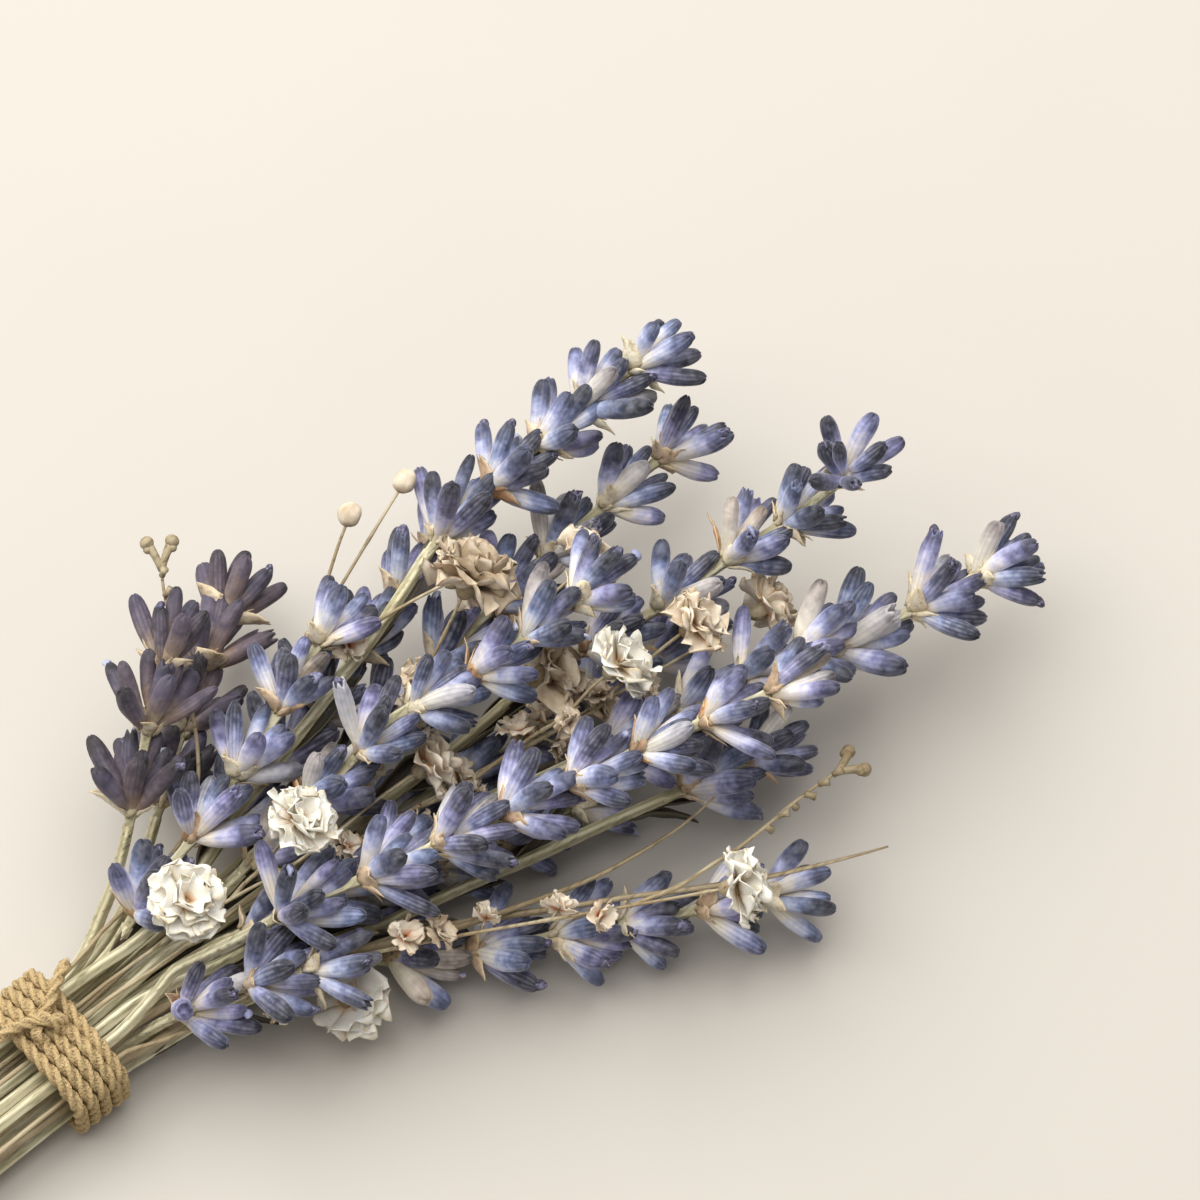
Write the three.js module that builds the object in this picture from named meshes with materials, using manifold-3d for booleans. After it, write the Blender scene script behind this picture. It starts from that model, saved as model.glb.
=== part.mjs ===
// A bunch of dried lavender with a little baby's breath, tied near the cut ends and lying on a table.
// Millimetres, +Z up. The stems run along X: cut ends towards -X, flower heads towards +X.
// Every stem is laid out as a centre line that runs from its cut end, through its place in the tie,
// to its flowers. The centre lines then settle clear of each other, and the small flower buds are set
// on last, each one bent clear of whatever already lies beside it.
import * as THREE from "three";
import { mergeVertices } from "three/addons/utils/BufferGeometryUtils.js";
import Module from "manifold-3d";

const wasm = await Module();
wasm.setup();

// ---- Driving dimensions, in millimetres and degrees ----
const SEED = 11;
const GAP = 0.3; // least air between two pieces
const STEP = 2.5; // spacing of the points on a centre line
const TIE_HEIGHT = 5.5; // centre of the stems above the table, where they are tied
const TIE_HALF = 5; // the stems run straight for this far each side of the tie's middle
const SEAT_PITCH = 2.0; // stems lie this far apart in the tie
const SEAT_COLUMNS = [3, 4, 3, 4, 3, 4, 3];
const TAIL_LENGTH = 56; // from the tie to the cut ends
const TAIL_STAGGER = 9;
const STEM_RADIUS = 0.85; // half the diagonal of a square lavender stem
const RACHIS_RADIUS = 0.55;
const WIRE_RADIUS = 0.45; // baby's breath stem
const HEAD_GIRTH = 3.3; // how far a flower head keeps its neighbours' centre lines off
const BUD_LENGTH = 7.5;
const BUD_RADIUS = 1.25;
const WHORL_LEANS = [-9, 8, -9, 8, -9, 8, 1]; // a whorl's buds, leaning out more or less than the rest
const LEAST_LEAN = 21;
const PETALS = 5; // in each ring of a double flower
const FLOWER_RADIUS = { white: 4.2, cream: 3.8, aged: 4.8 }; // aged ones have opened wide and gone beige
const SEED_RADIUS = 1.25; // closed round bud of the baby's breath
const TWINE_RADIUS = 0.8;
const TWINE_TURNS = 5;

// Lavender spikes: where the last whorl is, which way the head points in plan and how steeply it climbs,
// how long the head is and how many whorls it has. A lift turns the last whorl up. Two heads have faded
// to brown.
const SPIKES = [
  { tip: [88, 13, 25], heading: -4, climb: 10, head: 26, whorls: 5 },
  { tip: [87.5, 8, 13], heading: 0, climb: 4, head: 40, whorls: 6 },
  { tip: [97, -9, 24], heading: -6, climb: 40, head: 40, whorls: 6, lift: 42 },
  { tip: [103, -23, 14], heading: -13, climb: 6, head: 16, whorls: 3 },
  { tip: [76, -23, 26], heading: -19, climb: 10, head: 54, whorls: 8 },
  { tip: [84, -18, 14], heading: -13, climb: 4, head: 21, whorls: 4 },
  { tip: [74, -22, 9], heading: -14, climb: 0, head: 7, whorls: 2 },
  { tip: [66, -34, 8], heading: -28, climb: 0, head: 38, whorls: 6 },
  { tip: [25, -11, 12], heading: -30, climb: 6, head: 14, whorls: 3 },
  { tip: [47, 13, 18], heading: 20, climb: 8, head: 33, whorls: 5 },
  { tip: [63, 15, 13], heading: 16, climb: 4, head: 35, whorls: 6 },
  { tip: [68, -3, 23], heading: -6, climb: 10, head: 43, whorls: 7 },
  { tip: [43, 25, 9], heading: 28, climb: 0, head: 20, whorls: 4, faded: true },
  { tip: [33, 21, 21], heading: 30, climb: 12, head: 15, whorls: 3, faded: true },
  { tip: [58, -13, 7], heading: -14, climb: 0, head: 24, whorls: 4 },
  { tip: [74, -5, 6.2], heading: -4, climb: 0, head: 34, whorls: 5 },
  { tip: [45, -7.5, 12], heading: -8, climb: 2, head: 22, whorls: 4 },
];

// Baby's breath sprays: where the main stem ends and what it carries there, and the side branches,
// each leaving the main stem part of the way along.
const SPRAYS = [
  {
    end: [62, 20, 20],
    carries: "seed",
    branches: [
      { from: 0.62, end: [55, 20, 22], carries: "seed" },
      { from: 0.5, end: [62, 11, 20], carries: "cream" },
      { from: 0.25, end: [37, 28, 24], carries: "fork" },
    ],
  },
  {
    end: [72, 2, 19],
    carries: "cream",
    branches: [
      { from: 0.52, end: [59.5, 3.5, 27], carries: "aged" },
      { from: 0.6, end: [61, -5, 17], carries: "aged" },
    ],
  },
  {
    end: [84, -11, 13],
    carries: "cream",
    branches: [
      { from: 0.6, end: [74, -11, 25], carries: "cream" },
      { from: 0.5, end: [67, -8, 23], carries: "white" },
    ],
  },
  {
    end: [61, -33.5, 18],
    carries: "white",
    branches: [
      { from: 0.3, end: [27, -14.5, 6], carries: "white" },
      { from: 0.8, end: [79, -29, 10], carries: "fork" },
    ],
  },
  {
    end: [45.5, -1.5, 15],
    carries: "cream",
    branches: [
      { from: 0.4, end: [31, -2, 23], carries: "white" },
      { from: 0.2, end: [17, -1, 22], carries: "white" },
    ],
  },
];

// Two dry grass stalks with bare pointed ends.
const STALKS = [
  { tip: [76, -39, 13], heading: -26 },
  { tip: [66, -24, 14], heading: 2 },
];

// ---- Small maths ----
const radians = THREE.MathUtils.degToRad;
const mix = (a, b, t) => a + (b - a) * t;
const vector = (p) => new THREE.Vector3(...p);

// A repeatable number from 0 to 1 for any list of whole numbers.
function draw(...keys) {
  let h = SEED;
  for (const key of keys) {
    h = Math.imul(h ^ (key + 0x9e3779b9), 0x85ebca6b) >>> 0;
    h = (h ^ (h >>> 13)) >>> 0;
    h = Math.imul(h, 0xc2b2ae35) >>> 0;
    h = (h ^ (h >>> 16)) >>> 0;
  }
  return h / 0x100000000;
}

const spread = (amount, ...keys) => (draw(...keys) * 2 - 1) * amount;

function direction(headingDegrees, climbDegrees) {
  const h = radians(headingDegrees);
  const c = radians(climbDegrees);
  return new THREE.Vector3(Math.cos(h) * Math.cos(c), Math.sin(h) * Math.cos(c), Math.sin(c));
}

// ---- Centre lines ----
// The stems' places in the tie: columns of a honeycomb, from -Y to +Y.
function seatColumns() {
  return SEAT_COLUMNS.map((count, column) => {
    const y = (column - (SEAT_COLUMNS.length - 1) / 2) * SEAT_PITCH * Math.sqrt(0.75);
    return Array.from({ length: count }, (_, row) => [y, (row - (count - 1) / 2) * SEAT_PITCH]);
  });
}

// Sorted by bearing into the columns and by height within each, so that no two stems need to cross.
function assignSeats(ends) {
  const order = ends.map(({ end, rise }, index) => ({ index, bearing: Math.atan2(end[1], end[0]), rise }));
  order.sort((a, b) => a.bearing - b.bearing);
  const seats = [];
  let next = 0;
  for (const column of seatColumns()) {
    const members = order.slice(next, next + column.length);
    members.sort((a, b) => a.rise - b.rise);
    members.forEach((member, row) => (seats[member.index] = column[row]));
    next += column.length;
  }
  return seats;
}

function curvePoints(curve) {
  return curve.getPoints(Math.max(4, Math.round(curve.getLength() / STEP)));
}

// From the cut end through the tie to the last flower. The stems spread a little towards the cut ends.
function stemLine(seat, tip, out, key) {
  const [y, z] = seat;
  const tieBack = new THREE.Vector3(-TIE_HALF, y, z + TIE_HEIGHT);
  const tieFront = new THREE.Vector3(TIE_HALF, y, z + TIE_HEIGHT);
  const length = TAIL_LENGTH + spread(TAIL_STAGGER, key, 1);
  const tailEnd = new THREE.Vector3(-length, y * 2.1, z * 1.3 + TIE_HEIGHT);
  const tailBend = new THREE.Vector3(-TIE_HALF - length * 0.35, y, z + TIE_HEIGHT);
  const tail = new THREE.QuadraticBezierCurve3(tailEnd, tailBend, tieBack);
  const reach = tip.distanceTo(tieFront);
  const leave = tieFront.clone().add(new THREE.Vector3(reach * 0.28, 0, 0));
  const sweep = 0.45 * Math.max(0.25, 1 - Math.asin(out.z) / radians(60));
  const arrive = tip.clone().addScaledVector(out, -reach * sweep);
  const front = new THREE.CubicBezierCurve3(tieFront, leave, arrive, tip);
  const back = curvePoints(tail);
  return { points: [...back, ...curvePoints(front)], pinned: back.length + 1 };
}

function branchLine(start, along, end) {
  const reach = end.distanceTo(start);
  const leave = start.clone().addScaledVector(along, reach * 0.4);
  const rise = end.clone().sub(start).multiplyScalar(0.35).add(new THREE.Vector3(0, 0, -1.5));
  const curve = new THREE.CubicBezierCurve3(start, leave, end.clone().sub(rise), end);
  return curvePoints(curve);
}

const steepness = ({ end }) => (end[2] / end[0]) * 10;

// Sprays are seated above the lavender, because their side branches stand over it.
function layOut() {
  const seats = assignSeats([
    ...SPIKES.map(({ tip }) => ({ end: tip, rise: tip[2] })),
    ...SPRAYS.map(({ end, branches }) => ({ end, rise: 40 + Math.max(...branches.map(steepness)) })),
    ...STALKS.map(({ tip }) => ({ end: tip, rise: tip[2] })),
  ]);
  const lines = [];
  SPIKES.forEach((spike, i) => {
    const line = stemLine(seats[i], vector(spike.tip), direction(spike.heading, spike.climb), i);
    line.points.reverse();
    let run = 0;
    line.girths = line.points.map((p, k) => {
      run += k ? p.distanceTo(line.points[k - 1]) : 0;
      return run < spike.head ? HEAD_GIRTH : STEM_RADIUS + 0.1;
    });
    line.points.reverse();
    line.girths.reverse();
    lines.push({ ...line, kind: "spike", plant: i, spike });
  });
  SPRAYS.forEach((spray, i) => {
    const at = SPIKES.length + i;
    const tip = vector(spray.end);
    const out = tip.clone().setZ(tip.z * 0.6 - TIE_HEIGHT * 0.2).normalize();
    const main = stemLine(seats[at], tip, out, at);
    main.girths = main.points.map(() => WIRE_RADIUS + 0.3);
    main.girths[main.points.length - 1] = carriedGirth(spray.carries);
    const trunk = { ...main, kind: "spray", plant: at, carries: spray.carries };
    lines.push(trunk);
    for (const branch of spray.branches) {
      const free = trunk.points.length - trunk.pinned;
      const joint = trunk.pinned + Math.round(free * branch.from);
      const along = trunk.points[joint + 1].clone().sub(trunk.points[joint - 1]).normalize();
      const points = branchLine(trunk.points[joint], along, vector(branch.end));
      const girths = points.map(() => WIRE_RADIUS + 0.3);
      girths[points.length - 1] = carriedGirth(branch.carries);
      const { carries } = branch;
      lines.push({ points, girths, pinned: 1, kind: "branch", plant: at, carries, trunk, joint });
    }
  });
  STALKS.forEach((stalk, i) => {
    const at = SPIKES.length + SPRAYS.length + i;
    const line = stemLine(seats[at], vector(stalk.tip), direction(stalk.heading, 8), at);
    line.girths = line.points.map(() => WIRE_RADIUS + 0.1);
    lines.push({ ...line, kind: "stalk", plant: at });
  });
  return lines;
}

function carriedGirth(carries) {
  if (carries === "seed") return SEED_RADIUS + 0.3;
  if (carries === "fork") return 2.2;
  return FLOWER_RADIUS[carries] + 0.2;
}

// Pushes the centre lines apart wherever two are closer than their girths allow, and off the table,
// and shares each push smoothly along its stem. The points in the tie and the cut ends stay put.
function settle(lines, rounds = 240) {
  const dots = [];
  lines.forEach((line, l) => {
    line.shift = line.points.map(() => new THREE.Vector3());
    line.points.forEach((point, k) => dots.push({ line, l, k, point, girth: line.girths[k] }));
  });
  for (let round = 0; round < rounds; round++) {
    const ease = mix(0.45, 0.06, round / rounds);
    const push = lines.map((line) => line.points.map(() => new THREE.Vector3()));
    const now = dots.map((d) => d.point.clone().add(d.line.shift[d.k]));
    for (let a = 0; a < dots.length; a++) {
      for (let b = a + 1; b < dots.length; b++) {
        const first = dots[a];
        const second = dots[b];
        if (first.line === second.line) continue;
        const kin = first.line.plant === second.line.plant;
        if (kin && Math.max(first.girth, second.girth) < 2) continue;
        if (first.k < first.line.pinned && second.k < second.line.pinned) continue;
        const room = first.girth + second.girth + GAP;
        const dx = now[b].x - now[a].x;
        if (dx > room || dx < -room) continue;
        const dy = now[b].y - now[a].y;
        const dz = now[b].z - now[a].z;
        const apart = Math.sqrt(dx * dx + dy * dy + dz * dz);
        if (apart >= room || apart < 1e-6) continue;
        const share = ((room - apart) / apart) * 0.35;
        push[first.l][first.k].add(new THREE.Vector3(-dx * share, -dy * share, -dz * share));
        push[second.l][second.k].add(new THREE.Vector3(dx * share, dy * share, dz * share));
      }
    }
    lines.forEach((line, l) => {
      const last = line.points.length - 1;
      const moved = line.shift.map((shift, k) => {
        const to = shift.clone().multiplyScalar(0.995).add(push[l][k]);
        const low = line.points[k].z + to.z - floorGirth(line, k);
        if (low < 0) to.z -= low;
        return k < line.pinned ? new THREE.Vector3() : to;
      });
      line.shift = moved.map((to, k) => {
        if (k < line.pinned) return to;
        const before = moved[k - 1];
        const beside = k === last ? before : before.clone().add(moved[k + 1]).multiplyScalar(0.5);
        return to.clone().lerp(beside, ease);
      });
      if (line.trunk) line.shift[0].copy(line.trunk.shift[line.joint]);
    });
  }
  for (const line of lines) line.points.forEach((point, k) => point.add(line.shift[k]));
}

// A flower head's buds reach further down than the girth that neighbours keep.
const floorGirth = (line, k) => (line.girths[k] === HEAD_GIRTH ? 5 : line.girths[k] + 0.2);

// ---- Room already taken, as balls ----
// Each ball belongs to a plant; a bud's balls also to its whorl, and the first of them is its root.
const taken = [];

function take(plant, points, radii, whorl = null) {
  points.forEach((point, i) => {
    taken.push({ plant, whorl, root: i === 0, x: point.x, y: point.y, z: point.z, r: radii[i] });
  });
}

// Buds of one plant may lie side by side; everything else keeps the gap.
function roomBetween(ball, radius, plant, root) {
  if (ball.plant !== plant) return ball.r + radius + GAP;
  if (ball.whorl === null) return root ? 0 : RACHIS_RADIUS + 0.25 + radius * 0.8;
  return (ball.r + radius) * (root && ball.root ? 0.64 : 0.8);
}

function isClear(plant, points, radii) {
  return points.every((p, i) => {
    if (p.z - radii[i] < -0.15) return false;
    return taken.every((ball) => {
      const room = roomBetween(ball, radii[i], plant, i === 0);
      const dx = ball.x - p.x;
      const dy = ball.y - p.y;
      const dz = ball.z - p.z;
      return dx * dx + dy * dy + dz * dz >= room * room;
    });
  });
}

// ---- Closed shapes ----
// Rings of points joined into a skin, capped at both ends, or joined end to start when closed.
function skin(rings, closed = false) {
  const sides = rings[0].length;
  const corners = rings.flat();
  const faces = [];
  const spans = closed ? rings.length : rings.length - 1;
  for (let i = 0; i < spans; i++) {
    const a = i * sides;
    const b = ((i + 1) % rings.length) * sides;
    for (let j = 0; j < sides; j++) {
      const k = (j + 1) % sides;
      faces.push(a + j, a + k, b + k, a + j, b + k, b + j);
    }
  }
  if (!closed) {
    const end = (rings.length - 1) * sides;
    for (let j = 1; j < sides - 1; j++) {
      faces.push(0, j + 1, j, end, end + j, end + j + 1);
    }
  }
  const shape = new THREE.BufferGeometry().setFromPoints(corners);
  shape.setIndex(faces);
  return shape;
}

// A rod along a line of points, with a radius at each. Its cross-section doesn't twist.
function rod(points, radii, sides, across = new THREE.Vector3(0, 0, 1)) {
  let up = across.clone();
  const rings = points.map((point, i) => {
    const before = points[Math.max(i - 1, 0)];
    const after = points[Math.min(i + 1, points.length - 1)];
    const along = after.clone().sub(before).normalize();
    up = up.clone().addScaledVector(along, -up.dot(along)).normalize();
    const side = along.clone().cross(up);
    return Array.from({ length: sides }, (_, j) => {
      const turn = ((j + 0.5) / sides) * 2 * Math.PI;
      const reach = up.clone().multiplyScalar(Math.cos(turn)).addScaledVector(side, Math.sin(turn));
      return point.clone().addScaledVector(reach, radii[i]);
    });
  });
  return skin(rings);
}

// A body made ring by ring round an axis. Any side face of it can grow a limb: a tapering arm whose
// four-cornered rings start from that face, so that the arm and the body are one skin.
function sprouting(firstRing) {
  const corners = [...firstRing];
  const faces = [];
  const sides = firstRing.length;
  let last = firstRing.map((_, j) => j);
  const addRing = (points) => {
    const start = corners.length;
    corners.push(...points);
    return points.map((_, j) => start + j);
  };
  const close = (ring) => {
    for (let j = 1; j < ring.length - 1; j++) faces.push(ring[0], ring[j], ring[j + 1]);
  };
  const join = (a, b, c, d) => faces.push(a, b, c, a, c, d);
  close([...last].reverse());
  return {
    grow(points, limbs = []) {
      const next = addRing(points);
      for (let j = 0; j < sides; j++) {
        const k = (j + 1) % sides;
        let face = [last[j], last[k], next[k], next[j]];
        for (const outline of limbs[j] ?? []) {
          const reached = addRing(outline);
          for (let i = 0; i < 4; i++) join(face[i], face[(i + 1) % 4], reached[(i + 1) % 4], reached[i]);
          face = reached;
        }
        join(...face);
      }
      last = next;
    },
    finish() {
      close(last);
      const shape = new THREE.BufferGeometry().setFromPoints(corners);
      shape.setIndex(faces);
      return shape;
    },
  };
}

// The four corners of a limb's ring: across it, and through its thickness from the outer to the inner side.
function limbRing(centre, across, inward, halfWidth, halfThickness) {
  const corner = (w, t) =>
    centre.clone().addScaledVector(across, w * halfWidth).addScaledVector(inward, t * halfThickness);
  return [corner(-1, -1), corner(1, -1), corner(1, 1), corner(-1, 1)];
}

// A limb's walls as triangles, from the face that it grows from to its end.
function limbWalls(outlines) {
  const walls = [];
  for (let i = 1; i < outlines.length; i++) {
    const [inner, outer] = [outlines[i - 1], outlines[i]];
    for (let j = 0; j < 4; j++) {
      const k = (j + 1) % 4;
      walls.push([inner[j], inner[k], outer[k]], [inner[j], outer[k], outer[j]]);
    }
  }
  const [a, b, c, d] = outlines[outlines.length - 1];
  return [...walls, [a, b, c], [a, c, d]];
}

// Whether an edge of one set of triangles passes through a triangle of the other.
function pierces(walls, others) {
  const ray = new THREE.Ray();
  const hit = new THREE.Vector3();
  return walls.some((wall) =>
    wall.some((from, i) => {
      const to = wall[(i + 1) % 3];
      const length = from.distanceTo(to);
      ray.set(from, to.clone().sub(from).divideScalar(length));
      return others.some(([a, b, c]) => {
        if (!ray.intersectTriangle(a, b, c, false, hit)) return false;
        const run = hit.distanceTo(from);
        return run > 0.01 && run < length - 0.01;
      });
    }),
  );
}

const cut = (walls, others) => pierces(walls, others) || pierces(others, walls);

function solidOf(shape) {
  shape.deleteAttribute("normal");
  shape.deleteAttribute("uv");
  const whole = mergeVertices(shape, 1e-4);
  return new wasm.Manifold(
    new wasm.Mesh({
      numProp: 3,
      vertProperties: whole.attributes.position.array,
      triVerts: new Uint32Array(whole.index.array),
    }),
  );
}

// One body from several shapes, flat where it would reach below the table, with sealed hollows filled.
function fuse(shapes) {
  const joined = wasm.Manifold.union(shapes.map(solidOf)).trimByPlane([0, 0, 1], 0).simplify(0.03);
  const bodies = joined.decompose().filter((body) => body.volume() > 0);
  return bodies.reduce((most, body) => (body.volume() > most.volume() ? body : most));
}

function meshOf(name, material, body) {
  const made = body.getMesh();
  const corners = new Float32Array(made.numVert * 3);
  for (let i = 0; i < made.numVert; i++) {
    corners.set(made.vertProperties.subarray(i * made.numProp, i * made.numProp + 3), i * 3);
  }
  const shape = new THREE.BufferGeometry();
  shape.setAttribute("position", new THREE.BufferAttribute(corners, 3));
  shape.setIndex(new THREE.BufferAttribute(new Uint32Array(made.triVerts), 1));
  shape.computeVertexNormals();
  const mesh = new THREE.Mesh(shape, material);
  mesh.name = name;
  return mesh;
}

// ---- Materials ----
const matte = (color, roughness) => new THREE.MeshStandardMaterial({ color, roughness, metalness: 0 });
const LAVENDER_STEM = matte(0x9c9668, 0.8);
const LAVENDER_HEAD = matte(0x6f739b, 0.85);
const FADED_HEAD = matte(0x6b5a5c, 0.9);
const SPRAY_STEM = matte(0xa89a72, 0.8);
const WHITE_PETAL = matte(0xf1ebdc, 0.7);
const CREAM_PETAL = matte(0xdccbae, 0.75);
const AGED_PETAL = matte(0xbfa07a, 0.75);
const PETALS_OF = { white: WHITE_PETAL, cream: CREAM_PETAL, aged: AGED_PETAL };
const DRY_GRASS = matte(0x9a8c74, 0.8);
const TWINE = matte(0xb99c6b, 0.9);

// ---- Lines measured along their length ----
function measured({ points, pinned }) {
  const lengths = [0];
  for (let i = 1; i < points.length; i++) {
    lengths.push(lengths[i - 1] + points[i].distanceTo(points[i - 1]));
  }
  const total = lengths[lengths.length - 1];
  const at = (s) => {
    const run = Math.min(Math.max(s, 0), total);
    let i = 1;
    while (i < lengths.length - 1 && lengths[i] < run) i++;
    const t = (run - lengths[i - 1]) / (lengths[i] - lengths[i - 1]);
    return points[i - 1].clone().lerp(points[i], t);
  };
  const along = (s) => at(s + 0.5).sub(at(s - 0.5)).normalize();
  return { total, at, along, tie: [lengths[pinned - 2], lengths[pinned - 1]] };
}

// Every so many millimetres from one place on a line to another, both ends included.
function stretch(line, from, to, spacing) {
  const count = Math.max(1, Math.ceil((to - from) / spacing));
  return Array.from({ length: count + 1 }, (_, i) => line.at(mix(from, to, i / count)));
}

// A stem's points, straight through the tie and then as far as asked.
function stemPoints(line, to) {
  return [...stretch(line, 0, line.tie[0], 10), ...stretch(line, line.tie[1], to, 5)];
}

// ---- Lavender ----
const headStart = (spike, line) => line.total - spike.head - 3.6;

// A square stem, from its cut end to just below the flower head.
function lavenderStem(spike, line) {
  const points = stemPoints(line, headStart(spike, line) - 0.4);
  const radii = points.map((_, i) => mix(STEM_RADIUS, RACHIS_RADIUS + 0.1, i / points.length));
  return rod(points, radii, 4);
}

// Where a whorl sits on the flower head, and the directions there.
function whorlPlace(spike, plant, line, number) {
  const t = number / (spike.whorls - 1);
  const shift = t > 0 && t < 1 ? spread(0.7, plant, number, 9) : 0;
  const run = line.total - spike.head * (1 - Math.pow(t, 0.92)) - 1.6 + shift;
  const along = line.along(run);
  const side = new THREE.Vector3(0, 0, 1).cross(along).normalize();
  if (t === 1 && spike.lift) along.applyAxisAngle(side, -radians(spike.lift));
  return { t, run, base: line.at(run), along, side, up: along.clone().cross(side) };
}

const around = ({ side, up }, degrees) =>
  side.clone().multiplyScalar(Math.cos(radians(degrees))).addScaledVector(up, Math.sin(radians(degrees)));

function knobRing(place, forward, radius, sides, turn = 0) {
  const centre = place.base.clone().addScaledVector(place.along, forward);
  return Array.from({ length: sides }, (_, j) =>
    centre.clone().addScaledVector(around(place, turn + (j * 360) / sides), radius),
  );
}

// Ways a bud may be bent from its natural pose to lie clear: roll, tilt and share of its length.
const BENDS = [
  [0, 0, 1],
  [0, 6, 1],
  [8, -3, 1],
  [-8, -3, 1],
  [0, -9, 1],
  [7, 11, 1],
  [-7, 11, 1],
  [16, -6, 1],
  [-16, -6, 1],
  [0, 17, 0.97],
  [0, -17, 0.95],
  [14, 14, 0.93],
  [-14, 14, 0.93],
  [20, -16, 0.88],
  [-20, -16, 0.88],
  [0, -22, 0.8],
  [0, 4, 0.72],
];

// A bud leaves its knob outwards and forwards, and bends a little back towards the stem.
function bud(plant, place, root, head, roll, tilt, length) {
  const girth = BUD_RADIUS * mix(1, 0.88, place.t);
  for (const [moreRoll, moreTilt, share] of BENDS) {
    const out = around(place, roll + moreRoll);
    const lean = radians(Math.max(tilt + moreTilt, LEAST_LEAN));
    const way = place.along.clone().multiplyScalar(Math.cos(lean)).addScaledVector(out, Math.sin(lean));
    const inward = place.along.clone().multiplyScalar(Math.sin(lean)).addScaledVector(out, -Math.cos(lean));
    const start = place.base.clone().addScaledVector(out, 0.35);
    const reach = length * share;
    const at = (f) =>
      start.clone().addScaledVector(way, reach * f).addScaledVector(inward, reach * 0.05 * f * f);
    const balls = [at(0.3), at(0.5), at(0.72), at(0.88)];
    const girths = [0.85, 1, 0.95, 0.7].map((g) => g * girth);
    if (!isClear(plant, balls, girths)) continue;
    const across = place.along.clone().cross(out);
    const outlines = BUD_SHAPE.map(([f, r]) => limbRing(at(f), across, inward, girth * r, girth * r));
    const walls = limbWalls([root, ...outlines]);
    const near = head.filter((other) => other.tip.distanceTo(at(1)) < 2 * BUD_LENGTH);
    if (near.some((other) => cut(walls, other.walls))) continue;
    take(plant, balls, girths, place.run);
    head.push({ walls, tip: at(1) });
    return outlines;
  }
  return null;
}

// A bud is a slim club, widest past its middle and blunt at the tip: place along it and half its thickness.
const BUD_SHAPE = [
  [0.66, 0.76],
  [1, 0.4],
];

function lavenderHead(spike, plant, line) {
  const sides = WHORL_LEANS.length;
  const foot = { ...whorlPlace(spike, plant, line, 0), base: line.at(headStart(spike, line)) };
  const body = sprouting(knobRing(foot, 0, RACHIS_RADIUS + 0.1, sides, plant * 25));
  const head = [];
  for (let number = 0; number < spike.whorls; number++) {
    const place = whorlPlace(spike, plant, line, number);
    const turn = plant * 25 + (number * 180) / sides;
    const lower = knobRing(place, -0.1, 0.9, sides, turn);
    const upper = knobRing(place, 1.3, 0.85, sides, turn);
    const limbs = lower.map((_, j) => {
      const k = (j + 1) % sides;
      const root = [lower[j], lower[k], upper[k], upper[j]];
      const keys = [plant, number, j];
      const roll = turn + ((j + 0.5) * 360) / sides + spread(9, ...keys, 1);
      const lean = mix(47, 38, place.t * place.t) + WHORL_LEANS[j];
      const tilt = lean + spread(8, ...keys, 2);
      const length = BUD_LENGTH * mix(1, 0.88, place.t) * (1 + spread(0.14, ...keys, 3));
      return bud(plant, place, root, head, roll, tilt, length);
    });
    body.grow(lower);
    body.grow(upper, limbs);
  }
  const crown = whorlPlace(spike, plant, line, spike.whorls - 1);
  body.grow(knobRing(crown, 2.2, 0.3, sides, plant * 25 + ((spike.whorls - 1) * 180) / sides));
  return [body.finish()];
}

// ---- Baby's breath ----
// A ball round a point, for closed buds and the hearts of flowers.
function ball(centre, radius, detail) {
  const shape = detail
    ? new THREE.IcosahedronGeometry(radius, detail)
    : new THREE.OctahedronGeometry(radius, 0);
  return shape.translate(centre.x, centre.y, centre.z);
}

const bloomCentre = (line) => line.at(line.total);

// A double flower: a spreading ring of petals below an upright one, round a small heart.
const PETAL_RINGS = [
  { lean: 86, reach: 1, width: 0.31 },
  { lean: 41, reach: 0.98, width: 0.18 },
];

// A petal is a blade that widens from the flower's heart and is cut short at its end.
function petal(centre, axis, out, leanDegrees, reach, halfWidth, twist) {
  const lean = radians(leanDegrees);
  const way = axis.clone().multiplyScalar(Math.cos(lean)).addScaledVector(out, Math.sin(lean));
  const across = axis.clone().cross(out).applyAxisAngle(way, radians(twist));
  const inward = across.clone().cross(way).negate();
  const at = (f) => centre.clone().addScaledVector(way, reach * f);
  return [
    limbRing(at(0.74), across, inward, halfWidth, 0.38),
    limbRing(at(0.98), across, inward, halfWidth * 0.72, 0.34),
  ];
}

function bloom(plant, number, line, radius) {
  const axis = line.along(line.total);
  const side = new THREE.Vector3(0, 0, 1).cross(axis).normalize();
  const place = { base: bloomCentre(line), along: axis, side, up: axis.clone().cross(side) };
  const heart = radius * 0.36;
  const body = sprouting(knobRing(place, -heart, heart * 0.5, PETALS));
  PETAL_RINGS.forEach((ring, r) => {
    const limbs = Array.from({ length: PETALS }, (_, j) => {
      const keys = [plant, number, r, j];
      const out = around(place, ((j + 0.5) * 360) / PETALS + spread(3, ...keys, 1));
      const lean = ring.lean + (j % 2 ? 6 : -6) + spread(2, ...keys, 2);
      const reach = radius * ring.reach * (1 - draw(...keys, 3) * 0.08);
      return petal(place.base, axis, out, lean, reach, radius * ring.width, spread(9, ...keys, 4));
    });
    if (r === 0) body.grow(knobRing(place, -heart * 0.6, heart, PETALS));
    body.grow(knobRing(place, mix(-heart * 0.6, heart, (r + 1) / 2), heart * (r ? 0.7 : 1), PETALS), limbs);
  });
  body.grow(knobRing(place, radius * 0.8, heart * 0.35, PETALS));
  return [body.finish()];
}

// A wiry stem, ending short of the flower that it carries.
function wire(line, to, startRadius, endRadius) {
  const points = line.tie[0] ? stemPoints(line, to) : stretch(line, 0, to, 8);
  const radii = points.map((_, i) => mix(startRadius, endRadius, i / (points.length - 1)));
  return rod(points, radii, 3);
}

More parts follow.
